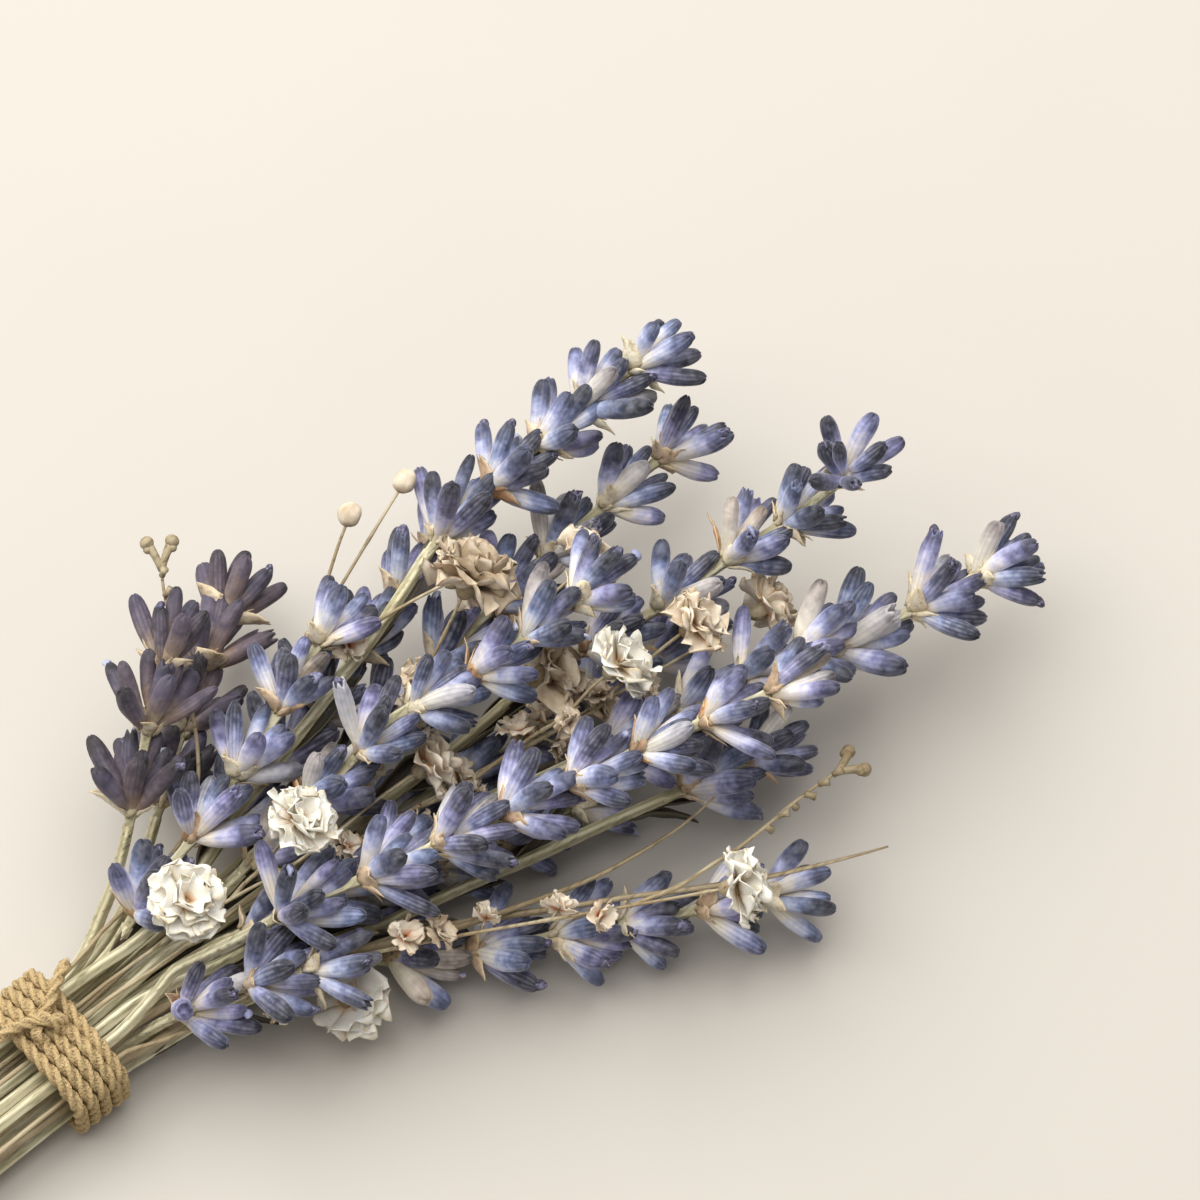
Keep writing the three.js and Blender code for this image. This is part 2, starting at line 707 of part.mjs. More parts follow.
function endShapes(line, carries) {
  const end = line.at(line.total);
  const along = line.along(line.total);
  if (carries === "seed") return [ball(end.clone().addScaledVector(along, 0.6), SEED_RADIUS, 0)];
  if (carries !== "fork") return [];
  return [-1, 1].map((side) => {
    const across = new THREE.Vector3(0, 0, 1).cross(along).multiplyScalar(side);
    const tip = end.clone().addScaledVector(along, 1.9).addScaledVector(across, 1.3);
    return rod([end.clone().addScaledVector(along, -0.8), tip], [0.42, 0.55], 4);
  });
}

// ---- The tie ----
// Twine pulled tight round the stems: its path is the stems' outline, a twine's radius further out.
function tieOutline(steps, clearance) {
  const seats = seatColumns().flat();
  return Array.from({ length: steps }, (_, i) => {
    const turn = (i / steps) * 2 * Math.PI;
    const way = [Math.cos(turn), Math.sin(turn)];
    const reach = (seat) => seat[0] * way[0] + seat[1] * way[1];
    const outer = seats.reduce((most, seat) => (reach(seat) > reach(most) ? seat : most));
    return { at: outer.map((c, k) => c + way[k] * clearance), way };
  });
}

function tieShapes() {
  const pitch = TWINE_RADIUS * 1.8;
  const half = ((TWINE_TURNS - 1) / 2) * pitch;
  const profile = [];
  for (let i = 0; i < TWINE_TURNS; i++) {
    const x = i * pitch - half;
    profile.push([x - TWINE_RADIUS * 0.5, TWINE_RADIUS * 0.82]);
    profile.push([x + TWINE_RADIUS * 0.5, TWINE_RADIUS * 0.82]);
    if (i < TWINE_TURNS - 1) profile.push([x + pitch / 2, TWINE_RADIUS * 0.4]);
  }
  profile.push([half + TWINE_RADIUS, 0], [half, -TWINE_RADIUS]);
  profile.push([-half, -TWINE_RADIUS], [-half - TWINE_RADIUS, 0]);
  profile.reverse();
  const middle = STEM_RADIUS + GAP + TWINE_RADIUS;
  const rings = tieOutline(14, middle).map(({ at, way }) =>
    profile.map(([x, r]) => new THREE.Vector3(x, at[0] + way[0] * r, at[1] + way[1] * r + TIE_HEIGHT)),
  );
  const top = TIE_HEIGHT + SEAT_PITCH * 1.5 + middle + TWINE_RADIUS;
  const knot = new THREE.Vector3(0, 1.2, top - 0.2);
  const ends = [-1, 1].map((side) => {
    const tip = knot.clone().add(new THREE.Vector3(side * 5.5, 2.6 + side, 0.4));
    return rod([knot, knot.clone().lerp(tip, 0.6).setZ(top + 1), tip], [0.8, 0.75, 0.75], 5);
  });
  return [skin(rings, true), ball(knot, 1.9, 1), ...ends];
}

// ---- The bunch ----
function takeStem(line) {
  const points = stretch(line.run, 0, line.run.total - (line.kind === "spike" ? 0 : 1), 0.8);
  const radius = line.kind === "spike" ? STEM_RADIUS : WIRE_RADIUS + 0.05;
  take(line.plant, points, points.map(() => radius));
  const end = line.run.at(line.run.total);
  if (line.carries) take(line.plant, [end], [FLOWER_RADIUS[line.carries] ?? carriedGirth(line.carries)]);
}

function sprayWires(lines) {
  return lines.flatMap((line) => {
    const heart = (FLOWER_RADIUS[line.carries] ?? 0) * 0.36;
    const stop = line.run.total - (heart ? heart + GAP : 0);
    const thick = line.kind === "spray" ? WIRE_RADIUS + 0.1 : WIRE_RADIUS;
    return [wire(line.run, stop, thick, WIRE_RADIUS - 0.05), ...endShapes(line.run, line.carries)];
  });
}

function build() {
  const lines = layOut();
  settle(lines);
  for (const line of lines) line.run = measured(line);
  lines.forEach(takeStem);
  const meshes = [];
  const add = (name, material, shapes) => meshes.push(meshOf(name, material, fuse(shapes)));
  const numbered = (name, i) => name + "_" + String(i + 1).padStart(2, "0");

  for (const { spike, plant, run } of lines.filter((l) => l.kind === "spike")) {
    add(numbered("lavender_stem", plant), LAVENDER_STEM, [lavenderStem(spike, run)]);
    const head = lavenderHead(spike, plant, run);
    add(numbered("lavender_head", plant), spike.faded ? FADED_HEAD : LAVENDER_HEAD, head);
  }
  SPRAYS.forEach((_, i) => {
    const kin = lines.filter((l) => l.plant === SPIKES.length + i);
    add(numbered("babys_breath_spray", i), SPRAY_STEM, sprayWires(kin));
  });
  lines
    .filter((l) => FLOWER_RADIUS[l.carries])
    .forEach(({ plant, run, carries }, i) => {
      const flower = bloom(plant, i, run, FLOWER_RADIUS[carries]);
      add(numbered(carries + "_bloom", i), PETALS_OF[carries], flower);
    });
  lines
    .filter((l) => l.kind === "stalk")
    .forEach(({ run }, i) => {
      add(numbered("grass_stalk", i), DRY_GRASS, [wire(run, run.total, WIRE_RADIUS, 0.4)]);
    });
  add("tie", TWINE, tieShapes());
  return meshes;
}

const bunch = new THREE.Group();
bunch.add(...build());

// The origin is on the table, under the middle of the whole bunch.
const box = new THREE.Box3().setFromObject(bunch);
const middle = box.getCenter(new THREE.Vector3());
for (const mesh of bunch.children) mesh.geometry.translate(-middle.x, -middle.y, -box.min.z);

export default bunch;
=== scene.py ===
"""A bunch of dried lavender with a little baby's breath, tied with twine and lying on a pale table.

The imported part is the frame. Every piece here replaces the plain solid of the same name and follows it:
the stems run along the same centre lines, and each flower bud lies where its solid bud lies.
Lengths are in millimetres and angles in degrees until a mesh is made, which is in metres.
"""

import math

import bpy
import numpy as np
from mathutils import Matrix, Vector, noise


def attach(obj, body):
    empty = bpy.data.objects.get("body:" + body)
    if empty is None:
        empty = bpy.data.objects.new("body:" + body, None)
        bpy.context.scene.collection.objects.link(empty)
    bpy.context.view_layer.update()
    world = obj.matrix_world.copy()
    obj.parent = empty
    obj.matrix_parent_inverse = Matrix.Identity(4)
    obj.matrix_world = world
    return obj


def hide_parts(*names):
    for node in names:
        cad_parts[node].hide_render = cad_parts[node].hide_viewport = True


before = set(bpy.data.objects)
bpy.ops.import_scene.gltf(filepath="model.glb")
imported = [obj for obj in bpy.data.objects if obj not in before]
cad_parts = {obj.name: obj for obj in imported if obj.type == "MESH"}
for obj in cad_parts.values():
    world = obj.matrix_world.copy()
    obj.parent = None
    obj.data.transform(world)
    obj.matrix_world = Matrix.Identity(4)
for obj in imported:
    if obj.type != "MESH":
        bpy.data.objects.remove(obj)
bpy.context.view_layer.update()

MM = 0.001

# ---- The bunch's layout: the same values as the part's source ----
SEED = 11
GAP = 0.3
STEP = 2.5
TIE_HEIGHT = 5.5
TIE_HALF = 5
SEAT_PITCH = 2.0
SEAT_COLUMNS = (3, 4, 3, 4, 3, 4, 3)
TAIL_LENGTH = 56
TAIL_STAGGER = 9
STEM_RADIUS = 0.85
RACHIS_RADIUS = 0.55
WIRE_RADIUS = 0.45
HEAD_GIRTH = 3.3
BUD_LENGTH = 7.5
BUD_RADIUS = 1.25
WHORL_LEANS = (-9, 8, -9, 8, -9, 8, 1)
LEAST_LEAN = 21
FLOWER_RADIUS = {"white": 4.2, "cream": 3.8, "aged": 4.8}
SEED_RADIUS = 1.25
TWINE_RADIUS = 0.8
TWINE_TURNS = 5

# Lavender spikes: tip, heading, climb, length of the head, whorls, lift of the last whorl, faded or not.
SPIKES = (
    ((88, 13, 25), -4, 10, 26, 5, 0, False),
    ((87.5, 8, 13), 0, 4, 40, 6, 0, False),
    ((97, -9, 24), -6, 40, 40, 6, 42, False),
    ((103, -23, 14), -13, 6, 16, 3, 0, False),
    ((76, -23, 26), -19, 10, 54, 8, 0, False),
    ((84, -18, 14), -13, 4, 21, 4, 0, False),
    ((74, -22, 9), -14, 0, 7, 2, 0, False),
    ((66, -34, 8), -28, 0, 38, 6, 0, False),
    ((25, -11, 12), -30, 6, 14, 3, 0, False),
    ((47, 13, 18), 20, 8, 33, 5, 0, False),
    ((63, 15, 13), 16, 4, 35, 6, 0, False),
    ((68, -3, 23), -6, 10, 43, 7, 0, False),
    ((43, 25, 9), 28, 0, 20, 4, 0, True),
    ((33, 21, 21), 30, 12, 15, 3, 0, True),
    ((58, -13, 7), -14, 0, 24, 4, 0, False),
    ((74, -5, 6.2), -4, 0, 34, 5, 0, False),
    ((45, -7.5, 12), -8, 2, 22, 4, 0, False),
)

# Baby's breath sprays: the main stem's end and what it carries, then its branches: how far along the stem
# each one starts, its end and what it carries.
SPRAYS = (
    (
        (62, 20, 20),
        "seed",
        ((0.62, (55, 20, 22), "seed"), (0.5, (62, 11, 20), "cream"), (0.25, (37, 28, 24), "fork")),
    ),
    ((72, 2, 19), "cream", ((0.52, (59.5, 3.5, 27), "aged"), (0.6, (61, -5, 17), "aged"))),
    ((84, -11, 13), "cream", ((0.6, (74, -11, 25), "cream"), (0.5, (67, -8, 23), "white"))),
    ((61, -33.5, 18), "white", ((0.3, (27, -14.5, 6), "white"), (0.8, (79, -29, 10), "fork"))),
    ((45.5, -1.5, 15), "cream", ((0.4, (31, -2, 23), "white"), (0.2, (17, -1, 22), "white"))),
)

# Grass stalks: tip and heading.
STALKS = (((76, -39, 13), -26), ((66, -24, 14), 2))

# Ways a bud is bent clear of its neighbours: roll, tilt and share of its length.
BENDS = (
    (0, 0, 1),
    (0, 6, 1),
    (8, -3, 1),
    (-8, -3, 1),
    (0, -9, 1),
    (7, 11, 1),
    (-7, 11, 1),
    (16, -6, 1),
    (-16, -6, 1),
    (0, 17, 0.97),
    (0, -17, 0.95),
    (14, 14, 0.93),
    (-14, 14, 0.93),
    (20, -16, 0.88),
    (-20, -16, 0.88),
    (0, -22, 0.8),
    (0, 4, 0.72),
)

UP = np.array((0.0, 0.0, 1.0))
noise.seed_set(SEED)  # otherwise each run wrinkles the pieces in its own way


# ---- Small maths ----
def mix(a, b, t):
    return a + (b - a) * t


def unit(v):
    return v / np.linalg.norm(v)


def rounded(x):
    return math.floor(x + 0.5)


def draw(*keys):
    """A repeatable number from 0 to 1 for any list of whole numbers."""
    most = 0xFFFFFFFF
    h = SEED
    for key in keys:
        h = ((h ^ (key + 0x9E3779B9)) * 0x85EBCA6B) & most
        h ^= h >> 13
        h = (h * 0xC2B2AE35) & most
        h ^= h >> 16
    return h / 0x100000000


def spread(amount, *keys):
    return (draw(*keys) * 2 - 1) * amount


def direction(heading, climb):
    h, c = math.radians(heading), math.radians(climb)
    return np.array((math.cos(h) * math.cos(c), math.sin(h) * math.cos(c), math.sin(c)))


def turned(v, axis, degrees):
    """v turned about a unit axis."""
    c, s = math.cos(math.radians(degrees)), math.sin(math.radians(degrees))
    return v * c + np.cross(axis, v) * s + axis * (axis @ v) * (1 - c)


def bezier(*corners):
    """Points about STEP apart on the curve that these corners give."""
    corners = np.array(corners, float)
    degree = len(corners) - 1

    def at(t):
        t = np.asarray(t, float)[:, None]
        weights = [math.comb(degree, i) * (1 - t) ** (degree - i) * t**i for i in range(degree + 1)]
        return sum(w * c for w, c in zip(weights, corners))

    fine = at(np.arange(201) / 200)
    length = np.linalg.norm(np.diff(fine, axis=0), axis=1).sum()
    count = max(4, rounded(length / STEP))
    return at(np.arange(count + 1) / count)


# ---- Centre lines ----
class Line:
    """A stem's centre line, measured along its length once it has settled."""

    carries = trunk = spike = None
    joint = 0

    def __init__(self, points, pinned, kind, plant, girths=None, **more):
        self.points = np.array(points, float)
        self.pinned, self.kind, self.plant, self.girths = pinned, kind, plant, girths
        self.shift = np.zeros_like(self.points)
        vars(self).update(more)

    def measure(self):
        self.points = self.points + self.shift
        steps = np.linalg.norm(np.diff(self.points, axis=0), axis=1)
        self.lengths = np.concatenate(([0.0], np.cumsum(steps)))
        self.total = self.lengths[-1]
        self.slopes = np.empty_like(self.points)
        spans = self.lengths[2:] - self.lengths[:-2]
        self.slopes[1:-1] = (self.points[2:] - self.points[:-2]) / spans[:, None]
        self.slopes[0] = (self.points[1] - self.points[0]) / steps[0]
        self.slopes[-1] = (self.points[-1] - self.points[-2]) / steps[-1]

    def at(self, run):
        run = min(max(run, 0.0), self.total)
        return np.array([np.interp(run, self.lengths, self.points[:, axis]) for axis in range(3)])

    def along(self, run):
        return unit(self.at(run + 0.5) - self.at(run - 0.5))

    def spot(self, run):
        return self.smooth(np.array([run]))[0]

    def smooth(self, runs):
        """Points on a smooth curve through the line's own points."""
        runs = np.clip(runs, 0, self.total)
        i = np.clip(np.searchsorted(self.lengths, runs, side="right") - 1, 0, len(self.lengths) - 2)
        span = (self.lengths[i + 1] - self.lengths[i])[:, None]
        t = ((runs - self.lengths[i])[:, None]) / span
        return (
            (2 * t**3 - 3 * t**2 + 1) * self.points[i]
            + (t**3 - 2 * t**2 + t) * span * self.slopes[i]
            + (3 * t**2 - 2 * t**3) * self.points[i + 1]
            + (t**3 - t**2) * span * self.slopes[i + 1]
        )


def seat_columns():
    columns = []
    for column, count in enumerate(SEAT_COLUMNS):
        y = (column - (len(SEAT_COLUMNS) - 1) / 2) * SEAT_PITCH * math.sqrt(0.75)
        columns.append([(y, (row - (count - 1) / 2) * SEAT_PITCH) for row in range(count)])
    return columns


def assign_seats(ends):
    order = sorted(range(len(ends)), key=lambda i: math.atan2(ends[i][0][1], ends[i][0][0]))
    seats = [None] * len(ends)
    start = 0
    for column in seat_columns():
        members = sorted(order[start : start + len(column)], key=lambda i: ends[i][1])
        for row, member in enumerate(members):
            seats[member] = column[row]
        start += len(column)
    return seats


def stem_line(seat, tip, out, key):
    """From the cut end through the tie to the last flower."""
    y, z = seat
    tip = np.array(tip, float)
    tie_back = np.array((-TIE_HALF, y, z + TIE_HEIGHT))
    tie_front = np.array((TIE_HALF, y, z + TIE_HEIGHT))
    length = TAIL_LENGTH + spread(TAIL_STAGGER, key, 1)
    tail_end = (-length, y * 2.1, z * 1.3 + TIE_HEIGHT)
    tail_bend = (-TIE_HALF - length * 0.35, y, z + TIE_HEIGHT)
    reach = np.linalg.norm(tip - tie_front)
    leave = tie_front + np.array((reach * 0.28, 0, 0))
    sweep = 0.45 * max(0.25, 1 - math.asin(out[2]) / math.radians(60))
    back = bezier(tail_end, tail_bend, tie_back)
    front = bezier(tie_front, leave, tip - out * reach * sweep, tip)
    return np.concatenate((back, front)), len(back) + 1


def branch_line(start, along, end):
    end = np.array(end, float)
    reach = np.linalg.norm(end - start)
    rise = (end - start) * 0.35 + np.array((0, 0, -1.5))
    return bezier(start, start + along * reach * 0.4, end - rise, end)


def carried_girth(carries):
    if carries == "seed":
        return SEED_RADIUS + 0.3
    if carries == "fork":
        return 2.2
    return FLOWER_RADIUS[carries] + 0.2


def lay_out():
    ends = [(tip, tip[2]) for tip, *_ in SPIKES]
    ends += [(end, 40 + max(b[1][2] / b[1][0] * 10 for b in branches)) for end, _, branches in SPRAYS]
    ends += [(tip, tip[2]) for tip, _ in STALKS]
    seats = assign_seats(ends)
    lines = []
    for i, spike in enumerate(SPIKES):
        tip, heading, climb, head = spike[:4]
        points, pinned = stem_line(seats[i], tip, direction(heading, climb), i)
        steps = np.linalg.norm(np.diff(points, axis=0), axis=1)
        left = np.concatenate((np.cumsum(steps[::-1])[::-1], [0.0]))
        girths = np.where(left < head, HEAD_GIRTH, STEM_RADIUS + 0.1)
        lines.append(Line(points, pinned, "spike", i, girths, spike=spike))
    for i, (end, carries, branches) in enumerate(SPRAYS):
        plant = len(SPIKES) + i
        out = unit(np.array((end[0], end[1], end[2] * 0.6 - TIE_HEIGHT * 0.2)))
        points, pinned = stem_line(seats[plant], end, out, plant)
        girths = np.full(len(points), WIRE_RADIUS + 0.3)
        girths[-1] = carried_girth(carries)
        trunk = Line(points, pinned, "spray", plant, girths, carries=carries)
        lines.append(trunk)
        for share, branch_end, branch_carries in branches:
            joint = pinned + rounded((len(points) - pinned) * share)
            along = unit(points[joint + 1] - points[joint - 1])
            branch = branch_line(points[joint], along, branch_end)
            girths = np.full(len(branch), WIRE_RADIUS + 0.3)
            girths[-1] = carried_girth(branch_carries)
            more = {"carries": branch_carries, "trunk": trunk, "joint": joint}
            lines.append(Line(branch, 1, "branch", plant, girths, **more))
    for i, (tip, heading) in enumerate(STALKS):
        plant = len(SPIKES) + len(SPRAYS) + i
        points, pinned = stem_line(seats[plant], tip, direction(heading, 8), plant)
        lines.append(Line(points, pinned, "stalk", plant, np.full(len(points), WIRE_RADIUS + 0.1)))
    return lines


def settle(lines, rounds=240):
    """Pushes centre lines apart where their girths need it, each push shared smoothly along its stem."""
    place = np.concatenate([line.points for line in lines])
    girth = np.concatenate([line.girths for line in lines])
    owner = np.concatenate([np.full(len(line.points), i) for i, line in enumerate(lines)])
    plant = np.concatenate([np.full(len(line.points), line.plant) for line in lines])
    pinned = np.concatenate([np.arange(len(line.points)) < line.pinned for line in lines])
    starts = np.concatenate(([0], np.cumsum([len(line.points) for line in lines])))
    floor = np.where(girth == HEAD_GIRTH, 5.0, girth + 0.2)
    a, b = np.triu_indices(len(place), 1)
    meets = owner[a] != owner[b]
    meets &= ~((plant[a] == plant[b]) & (np.maximum(girth[a], girth[b]) < 2))
    meets &= ~(pinned[a] & pinned[b])
    a, b = a[meets], b[meets]
    near = np.linalg.norm(place[a] - place[b], axis=1) < girth[a] + girth[b] + 24
    a, b = a[near], b[near]
    room = girth[a] + girth[b] + GAP
    shift = np.zeros_like(place)
    for step in range(rounds):
        ease = mix(0.45, 0.06, step / rounds)
        now = place + shift
        gap = now[b] - now[a]
        apart = np.sqrt((gap * gap).sum(axis=1))
        close = (apart < room) & (apart >= 1e-6)
        share = (room[close] - apart[close]) / apart[close] * 0.35
        force = gap[close] * share[:, None]
        push = np.zeros_like(place)
        np.add.at(push, a[close], -force)
        np.add.at(push, b[close], force)
        moved = shift * 0.995 + push
        low = place[:, 2] + moved[:, 2] - floor
        moved[:, 2] -= np.minimum(low, 0)
        moved[pinned] = 0
        beside = moved.copy()
        beside[1:-1] = (moved[:-2] + moved[2:]) / 2
        ends = starts[1:] - 1
        beside[ends] = moved[ends - 1]
        shift = mix(moved, beside, ease)
        shift[pinned] = 0
        for i, line in enumerate(lines):
            if line.trunk:
                shift[starts[i]] = shift[starts[lines.index(line.trunk)] + line.joint]
    for i, line in enumerate(lines):
        line.shift = shift[starts[i] : starts[i + 1]]
        line.measure()


def tie_middle():
    """The tie's middle on the table, in the row frame: the twine's loops lie evenly round it."""
    corners = np.array([v.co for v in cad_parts["tie"].data.vertices]) / MM
    low = corners[corners[:, 2] < TIE_HEIGHT]
    x = (low[:, 0].min() + low[:, 0].max()) / 2
    y = (corners[:, 1].min() + corners[:, 1].max()) / 2
    return np.array((x, y, 0.0))


MIDDLE = tie_middle()
TABLE_GAP = 0.01  # the dressed pieces stay this far above the table


# ---- Surfaces ----
class Surface:
    """One piece's points and faces. Each point has four marks from 0 to 1 that its finish reads."""

    def __init__(self):
        self.points, self.marks, self.faces, self.finishes = [], [], [], []
        self.count = 0

    def add(self, points, marks, faces, finish=0):
        points = np.asarray(points, float).reshape(-1, 3)
        self.points.append(points)
        self.marks.append(np.broadcast_to(np.asarray(marks, float), (len(points), 4)))
        self.faces += [tuple(self.count + i for i in face) for face in faces]
        self.finishes += [finish] * len(faces)
        self.count += len(points)

    def tube(self, rings, marks, finish=0):
        """rings is rows by columns by 3, closed round each row and capped at both ends."""
        rows, columns = rings.shape[:2]
        faces = []
        for first in range(0, (rows - 1) * columns, columns):
            for j in range(columns):
                k = (j + 1) % columns
                faces.append((first + j, first + k, first + columns + k, first + columns + j))
        faces.append(tuple(range(columns - 1, -1, -1)))
        faces.append(tuple((rows - 1) * columns + j for j in range(columns)))
        self.add(rings, np.asarray(marks).reshape(-1, 4), faces, finish)

    def blade(self, grid, marks, thickness, finish=0):
        """A closed thin blade round a grid of points, rows by columns by 3."""
        rows, columns = grid.shape[:2]
        lengthwise = np.gradient(grid, axis=0)
        across = np.gradient(grid, axis=1)
        normal = np.cross(lengthwise, across)
        normal /= np.maximum(np.linalg.norm(normal, axis=2, keepdims=True), 1e-9)
        top, bottom = grid + normal * thickness / 2, grid - normal * thickness / 2
        half = rows * columns
        faces = []
        for i in range(rows - 1):
            for j in range(columns - 1):
                a, b = i * columns + j, (i + 1) * columns + j
                faces.append((a, b, b + 1, a + 1))
                faces.append((half + a, half + a + 1, half + b + 1, half + b))
        edge = list(range(columns))
        edge += [i * columns + columns - 1 for i in range(1, rows)]
        edge += [(rows - 1) * columns + j for j in range(columns - 2, -1, -1)]
        edge += [i * columns for i in range(rows - 2, 0, -1)]
        for a, b in zip(edge, edge[1:] + edge[:1]):
            faces.append((a, b, half + b, half + a))
        marks = np.tile(np.asarray(marks, float).reshape(-1, 4), (2, 1))
        self.add(np.concatenate((top, bottom)), marks, faces, finish)

    def twig(self, points, radii, columns, ridge=0.4, finish=0, run=0.5, section=None, twist=None):
        """A closed tube along a line. The ridge mark follows the section's grooves where it has some."""
        if section is not None:
            ridge = np.broadcast_to((section - section.min()) / np.ptp(section), (len(points), columns))
        rings = sweep(points, radii, columns, section, twist)
        self.tube(rings, marked(len(points), columns, run, 0.5, ridge, 0), finish)

    def piece(self, name, finishes, slot, *replaced):
        """Makes the mesh object, keeps it just off the table, and hides the solids it stands for."""
        points = np.concatenate(self.points) + MIDDLE
        points[:, 2] = np.maximum(points[:, 2], TABLE_GAP)
        mesh = bpy.data.meshes.new(name)
        mesh.from_pydata((points * MM).tolist(), [], self.faces)
        marks = mesh.attributes.new("marks", "FLOAT_COLOR", "POINT")
        marks.data.foreach_set("color", np.concatenate(self.marks).astype(np.float32).ravel())
        for finish in finishes:
            mesh.materials.append(finish)
        mesh.polygons.foreach_set("material_index", self.finishes)
        mesh.polygons.foreach_set("use_smooth", [True] * len(self.faces))
        mesh.update()
        made = bpy.data.objects.new(name, mesh)
        bpy.context.scene.collection.objects.link(made)
        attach(made, "root")
        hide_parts(*replaced)


def marked(rows, columns, run, tone, third, age):
    """Marks for a grid: each of the four is one value, one value a row or a full grid."""
    made = np.empty((rows, columns, 4))
    for i, value in enumerate((run, tone, third, age)):
        value = np.asarray(value, float)
        made[..., i] = value[:, None] if value.ndim == 1 else value
    return made


def frames(points, across=UP):
    """Two directions square to the line at each point, carried along it without a twist."""
    ups, sides = [], []
    up = across
    for i in range(len(points)):
        along = unit(points[min(i + 1, len(points) - 1)] - points[max(i - 1, 0)])
        up = unit(up - along * (up @ along))
        ups.append(up)
        sides.append(np.cross(along, up))
    return np.array(ups), np.array(sides)


def loops(centres, right, up, turns, reach):
    """Rings round an axis, each point this far off it."""
    return centres + right * (np.cos(turns) * reach)[..., None] + up * (np.sin(turns) * reach)[..., None]


def sweep(points, radii, columns, section=None, twist=None):
    """Rings round a line. section gives each column its share of the radius, and twist turns each row by
    so many degrees."""
    ups, sides = frames(points)
    turns = (np.arange(columns) + 0.5) / columns * 2 * math.pi
    turns = np.broadcast_to(turns, (len(points), columns))
    if twist is not None:
        turns = turns + np.radians(twist)[:, None]
    shape = np.ones(columns) if section is None else section
    reach = np.broadcast_to(np.asarray(radii, float)[..., None], (len(points), 1)) * shape
    return loops(points[:, None], ups[:, None], sides[:, None], turns, reach)


def strip(start, along, out, leans, reach, width, cup, v):
    """A leaf or petal: a grid of points, and the ways forward and inward at each row. Each row leans so
    many degrees outwards, and its sides curl inwards by the cup."""
    leans = np.radians(leans)
    way = along * np.cos(leans)[:, None] + out * np.sin(leans)[:, None]
    back = along * np.sin(leans)[:, None] - out * np.cos(leans)[:, None]
    centre = start + np.cumsum(way, axis=0) * reach / len(leans)
    grid = centre[:, None] + np.cross(along, out) * (v * width[:, None])[..., None]
    grid = grid + back[:, None] * (v**2 * width[:, None] * cup)[..., None]
    return grid, way, back


def wrinkled(points, size, amount, seed):
    """Moves points by a smooth field whose wrinkles are about this size across."""
    flat = points.reshape(-1, 3)
    offset = Vector((seed * 7.31, seed * 3.17, seed * 5.77))
    field = np.array([noise.noise_vector(Vector(p) / size + offset) for p in flat])
    return (flat + field * amount).reshape(points.shape)


# ---- Finishes ----
MIX = {"output": 2, "data_type": "RGBA"}  # a Mix node used for colours, whose colour sockets are 6 and 7


def linear(colour):
    """sRGB hex to linear RGBA."""
    parts = [int(colour[i : i + 2], 16) / 255 for i in (1, 3, 5)]
    return tuple(c / 12.92 if c <= 0.04045 else ((c + 0.055) / 1.055) ** 2.4 for c in parts) + (1.0,)


def node(tree, kind, links=(), stops=(), output=0, **settings):
    """Adds a node and returns one of its outputs. links gives sockets their values or other nodes' outputs,
    in order or by name, and stops are a colour ramp's."""
    made = tree.nodes.new("ShaderNode" + kind)
    for name, value in settings.items():
        setattr(made, name, value)
    for socket, value in links.items() if isinstance(links, dict) else enumerate(links):
        if isinstance(value, bpy.types.NodeSocket):
            tree.links.new(value, made.inputs[socket])
        else:
            made.inputs[socket].default_value = value
    for i, (place, colour) in enumerate(stops):
        stop = made.color_ramp.elements[i] if i < 2 else made.color_ramp.elements.new(place)
        stop.position, stop.color = place, linear(colour)
    return made.outputs[output] if made.outputs else made


def finish_of(name):
    """A new material, its node tree, and the marks of the surface as run, tone, third and age."""
    made = bpy.data.materials.new(name)
    made.use_nodes = True
    tree = made.node_tree
    tree.nodes.clear()
    colours = node(tree, "Attribute", attribute_name="marks")
    parts = node(tree, "SeparateColor", (colours,)).node
    return made, tree, (*parts.outputs, colours.node.outputs["Alpha"])


def coat(tree, colour, height, depth, roughness, glow=None, **values):
    """Ends a finish: one shader with this colour, relief and glow in millimetres, and set values."""
    links = {"Base Color": colour, "Roughness": roughness}
    links |= {name.replace("_", " "): value for name, value in values.items()}
    if glow:
        links["Subsurface Radius"] = [reach * MM for reach in glow]
    if height is not None:
        links["Normal"] = node(tree, "Bump", {"Height": height, "Distance": depth * MM})
    node(tree, "OutputMaterial", (node(tree, "BsdfPrincipled", links),))


def grain(tree, size, detail=2.0, stretch=(1, 1, 1)):
    """Noise whose grains are about this many millimetres across, fixed to the bunch."""
    place = node(tree, "TexCoord", output=3)
    place = node(tree, "Mapping", {"Vector": place, "Scale": stretch})
    return node(tree, "TexNoise", {"Vector": place, "Scale": 1 / (size * MM), "Detail": detail})


